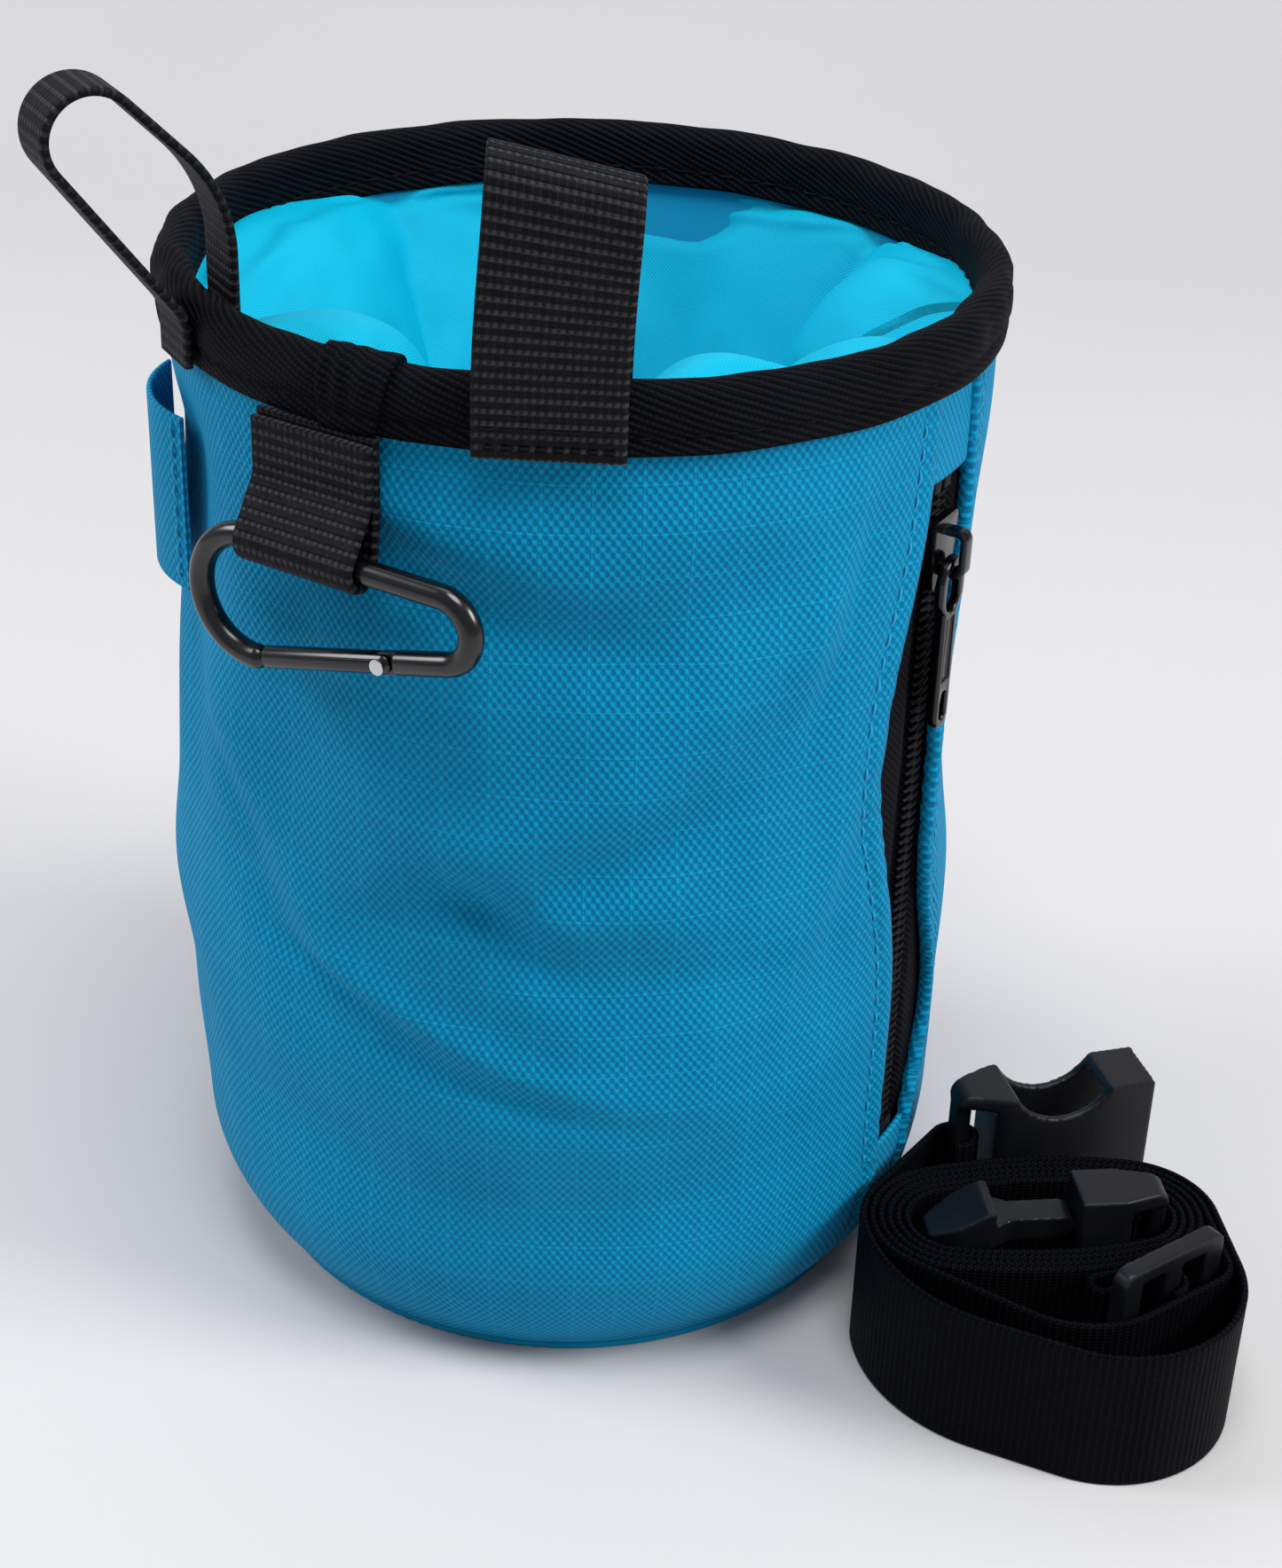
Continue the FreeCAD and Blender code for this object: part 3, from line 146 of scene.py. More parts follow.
def bump_at(value, middle, width):
    """A soft bump, 1 at the middle."""
    return np.exp(-((value - middle) / width) ** 2)


# Paths of straps, as lines and arcs in a plane

def beside(x, y, heading, distance):
    """A point to the right of a heading, in radians."""
    return x + distance * math.sin(heading), y - distance * math.cos(heading)


def march(pieces, start, heading):
    """Lines (length, None) and arcs (radius, clockwise sweep) as in the part's source."""
    x, y = start
    angle = math.radians(heading)
    steps = []
    for size, sweep in pieces:
        if sweep is None:
            steps.append((x, y, angle, size, 0.0))
            x += size * math.cos(angle)
            y += size * math.sin(angle)
            continue
        steps.append((x, y, angle, size, math.radians(sweep)))
        reach = math.copysign(size, sweep)
        middle = beside(x, y, angle, reach)
        angle -= math.radians(sweep)
        x, y = beside(*middle, angle, -reach)
    steps.append((x, y, angle, 0.0, 0.0))
    return steps


def sampled(steps, spacing):
    """Points, headings and lengths along the path."""
    points, headings = [], []
    for x, y, angle, size, sweep in steps[:-1]:
        length = abs(sweep) * size if sweep else size
        count = max(2, int(length / spacing))
        if sweep:
            count = max(count, int(abs(math.degrees(sweep)) / 6))
        reach = math.copysign(size, sweep)
        middle = beside(x, y, angle, reach)
        for k in range(count):
            share = k / count
            if sweep:
                turned = angle - sweep * share
                points.append(beside(*middle, turned, -reach))
                headings.append(turned)
            else:
                points.append((x + size * share * math.cos(angle),
                               y + size * share * math.sin(angle)))
                headings.append(angle)
    points.append(steps[-1][:2])
    headings.append(steps[-1][2])
    points = np.array(points)
    runs = np.hypot(*np.diff(points, axis=0).T)
    return points, np.array(headings), np.concatenate([[0], np.cumsum(runs)])


def strap_section(thickness, width, columns=14):
    """Across a strap: a flat band with soft selvedges, as pairs (w, t)."""
    half_t, half_w = thickness / 2, width / 2
    edge = half_t * 0.9
    flat = np.linspace(-half_w + edge, half_w - edge, columns)
    turns = np.radians((60, 20, -20, -60))
    across = half_w - edge + edge * np.cos(turns)
    up = half_t * np.sin(turns)
    near = np.concatenate([flat, across])
    high = np.concatenate([np.full(columns, half_t), up])
    return np.concatenate([stacked(near, high), stacked(-near, -high)])


def strap_block(centres, normals, across, lengths, thickness, width, low=None):
    """A swept strap as (verts, faces, uv). low is the w below which nothing hangs, per row."""
    section = strap_section(thickness, width)
    reach = np.tile(section[:, 0], (len(centres), 1))
    if low is not None:
        reach = np.maximum(reach, low[:, None])
    verts = (centres[:, None, :] + across[:, None, :] * reach[..., None]
             + normals[:, None, :] * section[None, :, 1:])
    rows, columns = reach.shape
    faces = grid_faces(rows, columns, close_columns=True)
    faces.append(tuple(range(columns)))
    faces.append(tuple((rows - 1) * columns + k for k in range(columns))[::-1])
    return verts, faces, stacked(lengths[:, None], section[:, 0])


def upright_strap(points, headings, lengths, z, thickness, width, low=None):
    """A strap on edge, whose path lies in a level plane."""
    centres = stacked(points[:, 0], points[:, 1], z)
    normals = stacked(-np.sin(headings), np.cos(headings), 0.0)
    across = np.tile([0.0, 0.0, 1.0], (len(points), 1))
    return strap_block(centres, normals, across, lengths, thickness, width, low)


# Materials

class Paint:
    """A material and short ways to add its nodes."""

    def __init__(self, name, colour, roughness, **sockets):
        self.material = bpy.data.materials.new(name)
        self.material.use_nodes = True
        self.tree = self.material.node_tree
        self.shader = self.tree.nodes["Principled BSDF"]
        self.shader.inputs["Base Color"].default_value = (*colour, 1)
        self.shader.inputs["Roughness"].default_value = roughness
        for key, value in sockets.items():
            self.shader.inputs[key.replace("_", " ")].default_value = value

    def node(self, kind, **settings):
        node = self.tree.nodes.new(kind)
        for key, value in settings.items():
            setattr(node, key, value)
        return node

    def link(self, source, target):
        """Join an output to an input, or set the input to a number or a colour."""
        if isinstance(source, (int, float)):
            target.default_value = source
        elif isinstance(source, tuple):
            target.default_value = (*source, 1)
        else:
            self.tree.links.new(source, target)

    def math(self, operation, first, second=0.0, clamp=False):
        node = self.node("ShaderNodeMath", operation=operation, use_clamp=clamp)
        self.link(first, node.inputs[0])
        self.link(second, node.inputs[1])
        return node.outputs[0]

    def uv(self):
        split = self.node("ShaderNodeSeparateXYZ")
        self.link(self.node("ShaderNodeTexCoord").outputs["UV"], split.inputs[0])
        return split.outputs[0], split.outputs[1]

    def wave(self, value, pitch, phase=0.0):
        """A sine of a length in mm."""
        turned = self.math("MULTIPLY_ADD", value, 2 * math.pi / pitch)
        turned.node.inputs[2].default_value = phase
        return self.math("SINE", turned)

    def noise(self, scale, detail=2.0):
        """Noise in the row's frame; scale is per metre."""
        node = self.node("ShaderNodeTexNoise")
        self.link(self.node("ShaderNodeTexCoord").outputs["Object"], node.inputs["Vector"])
        node.inputs["Scale"].default_value = scale
        node.inputs["Detail"].default_value = detail
        return node.outputs["Fac"]

    def mix(self, factor, low, high):
        node = self.node("ShaderNodeMix", data_type="RGBA")
        self.link(factor, node.inputs["Factor"])
        self.link(low, node.inputs["A"])
        self.link(high, node.inputs["B"])
        return node.outputs["Result"]

    def span(self, value, low, high, to_low=0.0, to_high=1.0):
        node = self.node("ShaderNodeMapRange", clamp=True)
        self.link(value, node.inputs["Value"])
        for key, number in (("From Min", low), ("From Max", high), ("To Min", to_low),
                            ("To Max", to_high)):
            node.inputs[key].default_value = number
        return node.outputs["Result"]

    def colour(self, socket):
        self.link(socket, self.shader.inputs["Base Color"])

    def bump(self, height, depth):
        """depth in mm."""
        node = self.node("ShaderNodeBump")
        node.inputs["Strength"].default_value = 1.0
        node.inputs["Distance"].default_value = depth * MM
        self.link(height, node.inputs["Height"])
        self.link(node.outputs["Normal"], self.shader.inputs["Normal"])

    def cloth(self, shade, shaded_colour, lit_colour, height, depth):
        """Colour mixed from the shaded to the lit colour by the shade: painted shade in the
        hollows of the cloth and painted highlight on its raised threads, with random tone. Relief
        by the height.
        """
        self.colour(self.mix(shade, shaded_colour, lit_colour))
        self.bump(height, depth)
        return self.material


def plain_weave(name, shaded_colour, lit_colour, warp, weft, depth, ripstop=None, roughness=0.7, sheen=0.02):
    """Threads over and under one another: raised dots on one parity of the crossings.
    warp, weft and ripstop are pitches in mm."""
    paint = Paint(name, lit_colour, roughness, Sheen_Weight=sheen, Sheen_Roughness=0.4,
                  Specular_IOR_Level=0.1)
    u, v = paint.uv()
    crossing = paint.math("MULTIPLY", paint.wave(u, 2 * warp), paint.wave(v, 2 * weft))
    dot = paint.span(crossing, -0.35, 0.8)
    thread = paint.math("MULTIPLY", paint.math("ABSOLUTE", paint.wave(u, 2 * warp, math.pi / 2)),
                        0.25)
    height = paint.math("ADD", dot, thread)
    if ripstop:
        line_u = paint.span(paint.wave(u, ripstop), 0.985, 1.0)
        line_v = paint.span(paint.wave(v, ripstop), 0.985, 1.0)
        rip = paint.math("MULTIPLY", paint.math("MAXIMUM", line_u, line_v), 0.35)
        height = paint.math("ADD", height, rip)
    blotch = paint.span(paint.noise(35.0, 3.0), 0.3, 0.7, -0.08, 0.08)
    # Colour by the relief: the raised dots, threads and ripstop lines get painted highlight and
    # the hollows painted shade, plus random blotches of tone.
    shade = paint.math("ADD", paint.span(height, 0.0, 1.25), blotch, clamp=True)
    return paint.cloth(shade, shaded_colour, lit_colour, height, depth)


def twill(name, shaded_colour, lit_colour, pitch, slant, depth):
    """Diagonal ribs, each broken into short floats."""
    paint = Paint(name, lit_colour, 0.7, Sheen_Weight=0.0, Specular_IOR_Level=0.06)
    u, v = paint.uv()
    turn = math.radians(slant)
    across = paint.math("ADD", paint.math("MULTIPLY", u, math.sin(turn)),
                        paint.math("MULTIPLY", v, math.cos(turn)))
    along = paint.math("SUBTRACT", paint.math("MULTIPLY", u, math.cos(turn)),
                       paint.math("MULTIPLY", v, math.sin(turn)))
    rib = paint.span(paint.wave(across, pitch), -0.7, 0.9)
    float_mark = paint.span(paint.wave(along, pitch * 0.85), -0.9, 0.6, 0.55, 1.0)
    height = paint.math("MULTIPLY", rib, float_mark)
    # Colour by the relief: the raised ribs get painted highlight and the hollows between them
    # painted shade, plus random tone.
    shade = paint.math("ADD", height, paint.span(paint.noise(60.0), 0.3, 0.7, -0.15, 0.15),
                       clamp=True)
    return paint.cloth(shade, shaded_colour, lit_colour, height, depth)


def ribbed_webbing(name, shaded_colour, lit_colour, rib_pitch, bead_pitch, depth, shine):
    """Ridges of beads across the strap, with pits between them that thin threads part."""
    paint = Paint(name, lit_colour, 0.62, Sheen_Weight=0.0, Specular_IOR_Level=shine)
    u, v = paint.uv()
    ridge = paint.span(paint.wave(u, rib_pitch, math.pi / 2), -0.25, 0.75)
    bead = paint.wave(v, bead_pitch)
    crest = paint.math("MULTIPLY", ridge, paint.span(bead, -1.0, 0.6, 0.4, 1.0))
    bridge = paint.span(bead, 0.7, 1.0, 0.0, 0.35)
    height = paint.math("MAXIMUM", crest, bridge)
    fuzz = paint.span(paint.noise(1100.0, 3.0), 0.3, 0.7, -0.15, 0.15)
    # Colour by the relief: the bead crests get painted highlight and the pits between them
    # painted shade, plus a random fuzz of tone.
    shade = paint.math("ADD", paint.math("POWER", height, 1.5), fuzz, clamp=True)
    return paint.cloth(shade, shaded_colour, lit_colour, height, depth)


def smooth_solid(name, colour, roughness, grain=0.0, **sockets):
    """Plastic or metal, with a fine grain and a little uneven gloss."""
    paint = Paint(name, colour, roughness, **sockets)
    wear = paint.span(paint.noise(140.0, 4.0), 0.3, 0.7, roughness * 0.85, roughness * 1.2)
    paint.link(wear, paint.shader.inputs["Roughness"])
    if grain:
        paint.bump(paint.noise(2500.0), grain)
    return paint.material


# Each cloth has a shaded and a lit colour of its one dye: the lit one is painted highlight on its
# raised threads, the shaded one painted shade in its hollows.
SHELL = plain_weave("shell_cloth", (0.0, 0.145, 0.30), (0.0, 0.335, 0.61), 0.66, 0.86,
                    0.16, ripstop=6.6)
HEM = plain_weave("hem_cloth", (0.0, 0.155, 0.31), (0.0, 0.335, 0.60), 0.66, 0.86, 0.12)
COLLAR = plain_weave("collar_cloth", (0.0, 0.33, 0.52), (0.0, 0.45, 0.65), 0.34, 0.34,
                     0.05, roughness=0.55, sheen=0.0)
LINING = plain_weave("lining_cloth", (0.004, 0.22, 0.40), (0.01, 0.33, 0.55), 0.9, 0.9, 0.2,
                     roughness=0.9, sheen=0.1)
BINDING = twill("edge_binding", (0.0003, 0.0004, 0.001), (0.007, 0.008, 0.013), 0.95, 22, 0.34)
TAPE = twill("zip_tape", (0.0015, 0.0015, 0.0025), (0.006, 0.006, 0.009), 0.9, 45, 0.15)
WEBBING = ribbed_webbing("webbing", (0.0002, 0.0002, 0.0006), (0.034, 0.035, 0.046), 1.62,
                         1.05, 0.5, shine=0.16)
BELT = ribbed_webbing("belt_webbing", (0.0002, 0.0003, 0.0008), (0.0028, 0.0036, 0.008), 1.14,
                      0.62, 0.26, shine=0.05)
THREAD_BLUE = smooth_solid("thread_blue", (0.01, 0.32, 0.55), 0.6)
THREAD_BLACK = smooth_solid("thread_black", (0.003, 0.003, 0.004), 0.7, Specular_IOR_Level=0.1)
ANODISED = smooth_solid("carabiner_metal", (0.0015, 0.0015, 0.002), 0.22,
                        Specular_IOR_Level=0.6)
STEEL = smooth_solid("rivet_steel", (0.62, 0.62, 0.62), 0.25, Metallic=1.0)
ENAMEL = smooth_solid("zip_metal", (0.0015, 0.0015, 0.002), 0.14, Specular_IOR_Level=0.45)
TEETH = smooth_solid("zip_teeth", (0.002, 0.002, 0.003), 0.5, Specular_IOR_Level=0.15)
BUCKLE = smooth_solid("buckle_plastic", (0.004, 0.0045, 0.007), 0.42, grain=0.02,
                      Specular_IOR_Level=0.35)
HOOP = smooth_solid("hoop_plastic", (0.7, 0.7, 0.68), 0.5)


def dress(item, material, *nodes, slot, body="bag"):
    """Give a piece its material, hide the CAD nodes it stands in for, and attach it to the body
    it moves with.
    """
    item.data.materials.clear()
    item.data.materials.append(material)
    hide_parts(*nodes)
    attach(item, body)


# Wall of the bag

# Edges of the zip's opening, as (height, angle round the bag)
LEFT_EDGE = ((28, -31.6), (40, -31.5), (60, -31.5), (70, -33.2), (80, -35.8), (89, -38.6),
             (99, -40.2), (110, -39.6), (119, -37.6), (128, -35.2), (135, -33.6), (143, -32.4),
             (163, -32.5))
RIGHT_EDGE = ((28, -21.5), (32, -20.0), (36, -15.5), (42, -12.5), (50, -13.0), (58, -16.5),
              (66, -20.0), (76, -22.4), (116, -22.4), (128, -20.0), (140, -18.5), (150, -20.5),
              (163, -21.5))


def edge_angle(marks, z):
    """The angle of an edge at a height, rounded off between its marks."""
    heights, angles = zip(*marks)
    own = np.interp(z, heights, angles)
    near = [np.interp(np.clip(z + shift, heights[0], heights[-1]), heights, angles)
            for shift in (-5, 5, -9, 9)]
    return (own * 2 + sum(near)) / 6


def crease(du, dv, slant, length, width, depth, lift):
    """One soft crease: a hollow along a line, with a rise beside it. Lengths in mm."""
    turn = math.radians(slant)
    ahead = du * math.cos(turn) + dv * math.sin(turn)
    across = -du * math.sin(turn) + dv * math.cos(turn)
    hollow = -depth * bump_at(across, 0, width)
    rise = lift * bump_at(across, 1.7 * width, 1.4 * width)
    return bump_at(ahead, 0, length) * (hollow + rise)


CREASE_GAIN = 1.45
# (angle round the bag, height), slant, length, width, depth, rise
CREASES = (
    ((-88, 92), 22, 26, 5.0, 1.5, 1.1),
    ((-97, 84), -38, 14, 4.0, 1.3, 0.8),
    ((-80, 78), -12, 24, 6.0, 0.9, 0.7),
    ((-118, 66), -18, 20, 2.2, 1.1, 0.9),
    ((-102, 57), -14, 24, 2.6, 0.9, 0.8),
    ((-131, 74), -30, 20, 3.4, 0.9, 0.6),
    ((-140, 88), -48, 16, 4.0, 0.9, 0.6),
    ((-112, 141), -28, 18, 3.6, 0.9, 0.7),
    ((-96, 134), -20, 24, 5.0, 0.9, 0.7),
    ((-70, 133), 14, 26, 8.0, 1.1, 0.8),
    ((-60, 112), 30, 20, 7.0, 0.9, 0.7),
    ((-52, 62), 60, 22, 8.0, 0.9, 0.6),
    ((-128, 112), 80, 30, 8.0, 0.8, 0.5),
    ((-155, 105), 86, 34, 6.0, 0.8, 0.5),
    ((-48, 128), 74, 18, 3.0, 0.8, 0.6),
    ((-42, 92), 70, 16, 3.0, 0.7, 0.6),
    ((-75, 36), 8, 30, 9.0, 0.8, 0.5),
    ((-120, 38), -10, 26, 7.0, 0.8, 0.5),
    ((150, 96), 25, 28, 8.0, 1.2, 0.8),
    ((60, 80), -22, 30, 8.0, 1.2, 0.8),
    ((95, 120), 18, 26, 7.0, 1.0, 0.7),
    ((20, 64), 30, 26, 7.0, 1.1, 0.8),
    ((175, 60), -25, 26, 7.0, 1.0, 0.7),
    ((120, 48), 12, 26, 6.0, 0.9, 0.6),
)


# Broad hollows and bulges of the wall: angle, spread in degrees, height, rise and depth in mm
LEANS = ((-2, 17, 97, 26, -2.9), (-167, 30, 138, 22, -1.9), (-167, 34, 60, 30, 1.9),
         (-85, 26, 118, 26, 0.9), (-108, 22, 84, 20, -0.9), (-66, 20, 60, 26, 0.7))


def swell(phi, z):
    """How far the wall stands out of its plain form at a place, in mm."""
    phi = (np.asarray(phi, float) + 230) % 360 - 230
    out = np.zeros(np.broadcast(phi, z).shape)
    for (angle, height), *form in CREASES:
        angle = (angle + 230) % 360 - 230
        for turn in (-360, 0, 360):
            u = np.radians(phi - angle + turn) * SHELL_RADIUS
            out = out + crease(u, z - height, *form)
    ripple = (0.35 * np.sin(np.radians(phi) * 5 + z * 0.045)
              + 0.25 * np.sin(np.radians(phi) * 9 - z * 0.07 + 1.3)
              + 0.12 * np.sin(np.radians(phi) * 21 + z * 0.11 + 0.4))
    held = smoothstep(z, 6, 40) * (1 - smoothstep(z, 140, 157))
    for angle, spread, height, rise, depth in LEANS:
        gap = (phi - angle + 180) % 360 - 180
        ripple = ripple + depth * bump_at(gap, 0, spread) * bump_at(z, height, rise)
    fade = smoothstep(z, 10, 26) * (1 - smoothstep(z, 146, 158))
    return CREASE_GAIN * out * fade + ripple * held


def wall_profile(step=1.0):
    """Heights and radii up the wall, with the length of cloth, foot first."""
    start = math.asin((CORNER_HEIGHT - WALL_LOW) / CORNER_RADIUS)
    arc = np.linspace(-start, 0, int(CORNER_RADIUS * start / step))[:-1]
    rise = np.linspace(CORNER_HEIGHT, WALL_TOP, int((WALL_TOP - CORNER_HEIGHT) / step))
    radii = np.concatenate([SHELL_RADIUS - CORNER_RADIUS + CORNER_RADIUS * np.cos(arc),
                            np.full(len(rise), SHELL_RADIUS)])
    heights = np.concatenate([CORNER_HEIGHT + CORNER_RADIUS * np.sin(arc), rise])
    runs = np.hypot(np.diff(radii), np.diff(heights))
    return heights[:, None], radii[:, None], np.concatenate([[0], np.cumsum(runs)])[:, None]


def wall_relief(phi, z, from_edge):
    """Dents, the puckered hem along the zip, the back seam and the lip at the floor."""
    ease = smoothstep(from_edge, 0, 14)
    pucker = 0.14 * np.sin(z / 6.1 * 2 * math.pi + np.sin(z * 0.21) * 3) * (
        0.5 + 0.5 * np.sin(z * 0.083))
    hem = 0.3 * bump_at(from_edge, 1.2, 1.6) - 0.4 * bump_at(from_edge, 3.6, 0.8)
    from_seam = np.abs((phi - SEAM_ANGLE + 180) % 360 - 180) * DEGREE * SHELL_RADIUS
    seam = 0.25 * bump_at(from_seam, 1.8, 1.2) - 0.8 * bump_at(from_seam, 0, 0.5)
    lip = 0.5 * (1 - smoothstep(z, 2.2, 4.2))
    return (swell(phi, z) * (0.35 + 0.65 * ease) + hem + pucker * bump_at(from_edge, 0, 5.0)
            + seam + lip)


def make_wall():
    z, radii, lengths = wall_profile()
    rows, columns = len(z), 440
    right = edge_angle(RIGHT_EDGE, z)
    left = edge_angle(LEFT_EDGE, z) + 360
    phi = right + (left - right) * np.linspace(0, 1, columns)
    from_edge = np.minimum(phi - right, left - phi) * DEGREE * SHELL_RADIUS
    radius = radii + wall_relief(phi, z, from_edge)
    blocks = [(polar(phi, radius, z), grid_faces(rows, columns),
               stacked(np.radians(phi) * SHELL_RADIUS, lengths))]
    # The cloth is folded back along both edges of the zip's opening
    fold = 0.75
    turn = np.array([0.0, 0.25, 0.5, 0.75, 1.0]) * math.pi
    drop = np.concatenate([fold * (1 - np.cos(turn)), [2 * fold, 2 * fold]])
    shift = np.concatenate([fold * np.sin(turn), [-2.0, -5.0]])
    for column, side in ((0, -1), (columns - 1, 1)):
        edge = slice(column, column + 1)
        fold_phi = phi[:, edge] + side * np.degrees(shift / SHELL_RADIUS)
        blocks.append((polar(fold_phi, radius[:, edge] - drop, z), grid_faces(rows, len(drop)),
                       stacked(np.radians(fold_phi) * SHELL_RADIUS + drop, lengths)))
    wall = joined("bag_wall", blocks)
    dress(wall, SHELL, "front_panel", "side_panel", slot="shell_cloth")
    thicken(wall, 0.5)


def stitches(name, points, outs, material, length=2.2, gap=0.9, radius=0.22):
    """Short threads along a line of points, half sunk in the cloth."""
    points = np.asarray(points, float)
    runs = np.linalg.norm(np.diff(points, axis=0), axis=1)
    marks = np.concatenate([[0], np.cumsum(runs)])
    arch = np.array([-0.9, 0.3, 0.7, 0.7, 0.3, -0.9])[:, None, None] * radius
    size = np.array([0.6, 1.0, 1.05, 1.05, 1.0, 0.6])[:, None, None] * radius
    ring = np.linspace(0, 2 * math.pi, 7)[:-1][None, :, None]
    faces = grid_faces(6, 6, close_columns=True)
    faces += [tuple(range(6)), tuple(range(30, 36))[::-1]]
    blocks = []
    for place in np.arange(gap, marks[-1] - length, length + gap):
        reach = np.linspace(place, place + length, 6)
        line = stacked(*(np.interp(reach, marks, column) for column in points.T))
        out = stacked(*(np.interp(reach, marks, column) for column in np.asarray(outs).T))
        out /= np.linalg.norm(out, axis=1)[:, None]
        ahead = np.gradient(line, axis=0)
        ahead /= np.linalg.norm(ahead, axis=1)[:, None]
        side = np.cross(ahead, out)
        verts = (line[:, None, :] + out[:, None, :] * (arch + size * np.sin(ring))
                 + side[:, None, :] * size * np.cos(ring))
        blocks.append((verts, faces, None))
    item = joined(name, blocks)
    item.data.materials.append(material)
    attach(item, "bag")


def make_wall_stitching():
    z = np.linspace(26, 156, 160)
    for name, marks, side in (("zip_stitch_left", LEFT_EDGE, -1),
                              ("zip_stitch_right", RIGHT_EDGE, 1)):
        phi = edge_angle(marks, z) + side * math.degrees(3.6 / SHELL_RADIUS)
        radius = SHELL_RADIUS + swell(phi, z) * 0.45 - 0.2
        stitches(name, polar(phi, radius, z), polar(phi, 1.0, 0.0), THREAD_BLUE,
                 length=2.4, gap=1.0, radius=0.2)


make_wall()
make_wall_stitching()


def end_panel(name, node, low, high):
    """The short stretch of wall above or below the zip."""
    phi = np.linspace(-32.8, -21.2, 24)
    z = np.linspace(low, high, 40)[:, None]
    under = np.clip(CORNER_HEIGHT - z, 0, None)
    radius = SHELL_RADIUS - CORNER_RADIUS - 0.5 + np.sqrt(CORNER_RADIUS ** 2 - under ** 2)
    item = mesh_object(name, polar(phi, radius, z), grid_faces(len(z), len(phi)),
                       stacked(np.radians(phi) * SHELL_RADIUS, z))
    dress(item, HEM, node, slot="shell_cloth")
    thicken(item, 0.8)


end_panel("zip_cap", "zip_cap_panel", ZIP_HIGH, WALL_TOP)
end_panel("zip_foot", "zip_foot_panel", WALL_LOW, ZIP_LOW)


# Rim

def binding_section(proud=0.0, wall=1.0):
    """Across the folded tape: radii, heights and lengths round the fold, outer face first."""
    outside = RIM_RADIUS + proud
    inside = INNER_RADIUS - proud
    middle = (outside + inside) / 2
    half = (outside - inside) / 2
    z = np.linspace(FOOT, CROWN, 12)
    groove = bump_at(z, FOOT + STITCH_RISE, 0.55)
    puff = 0.35 * np.sin(math.pi * np.minimum(1, (z - FOOT) / 9.0))
    turn = np.linspace(0, math.pi, 16)[1:-1]
    radii = [outside + puff - 0.45 * groove, middle + half * np.cos(turn),
             inside + 0.3 * groove[::-1], [inside + wall] * 2, [outside - wall] * 2]
    heights = [z, CROWN + half * np.sin(turn), z[::-1], [FOOT, CROWN], [CROWN, FOOT]]
    radii = np.concatenate(radii)
    heights = np.concatenate(heights)
    runs = np.hypot(np.diff(radii), np.diff(heights))
    return radii, heights, np.concatenate([[0], np.cumsum(runs)])


def make_binding():
    radii, heights, marks = binding_section()
    count = 300
    phi = np.linspace(0, 360, count + 1)[:, None]
    turn = np.radians(phi)
    wobble = 0.18 * np.sin(turn * 23) + 0.12 * np.sin(turn * 41 + 1)
    radius = radii + wobble * smoothstep(heights, 158, 163)
    verts = polar(phi, radius, heights + 0.10 * np.sin(turn * 17))
    item = mesh_object("rim_tape", verts, grid_faces(count + 1, len(radii), close_columns=True),
                       stacked(turn * RIM_RADIUS, marks))
    dress(item, BINDING, "rim_binding", slot="edge_binding")
    phi = np.linspace(-180, 180, 720)
    for name, radius, sign in (("rim_stitch_outside", 61.72, 1.0),
                               ("rim_stitch_inside", 57.2, -1.0)):
        stitches(name, polar(phi, radius, FOOT + STITCH_RISE), polar(phi, sign, 0.0),
                 THREAD_BLACK, length=2.6, gap=1.2, radius=0.2)


def make_overlap():
    """The wider fold where the ends of the tape meet, slanted and pressed at its ends."""
    radii, heights, marks = binding_section(proud=0.95, wall=0.8)
    rows, columns = 26, len(radii)
    share = np.linspace(0, 1, rows)[:, None]
    skew = (heights - FOOT) * 0.22
    phi = np.linspace(-119.6, -111.4, rows)[:, None] + skew * smoothstep(share, 0.6, 1)
    rough = 0.22 * np.sin(share * 19) * smoothstep(heights, 157, 163)
    edge = 0.5 * (1 - np.sin(np.clip(share * math.pi, 0, math.pi)) ** 0.3)
    radius = radii + rough + np.where(radii > 59.5, -edge, edge)
    faces = grid_faces(rows, columns, close_columns=True)
    outside = columns - 4
    for row in (0, rows - 1):
        ring = [row * columns + k for k in range(columns)]
        for k in range(outside // 2):
            faces.append((ring[k], ring[k + 1], ring[outside - 2 - k], ring[outside - 1 - k]))
    item = mesh_object("rim_tape_overlap", polar(phi, radius, heights), faces,
                       stacked(np.radians(phi) * RIM_RADIUS, marks))
    dress(item, BINDING, "binding_overlap", slot="edge_binding")


make_binding()
make_overlap()


# Webbing loops

def radial_strap(name, pieces, start, heading, width, angle, twist=None):
    """A strap of webbing whose path lies in the radial plane (r, z)."""
    points, headings, marks = sampled(march(pieces, start, heading), 0.7)
    centres = stacked(points[:, 0], 0.0, points[:, 1])
    normals = stacked(-np.sin(headings), 0.0, np.cos(headings))
    across = np.tile([0.0, 1.0, 0.0], (len(points), 1))
    verts, faces, uv = strap_block(centres, normals, across, marks, WEBBING_THICKNESS, width)
    if twist:
        verts = twist(verts)
    return mesh_object(name, placed(verts, angle), faces, uv)


def twist_front_loop(verts):
    """Lean, narrow and slant the loop towards its top."""
    middle = 59.5
    share = smoothstep(verts[..., 2], 164, 199)
    turn = np.radians(-7) * share
    x = (verts[..., 0] - middle) * (1 - 0.42 * share)
    y = verts[..., 1]
    return stacked(middle + x * np.cos(turn) - y * np.sin(turn),
                   x * np.sin(turn) + y * np.cos(turn) + 1.5 * share + 0.16 * x * share,
                   verts[..., 2] - (0.165 * y + 0.9) * share)


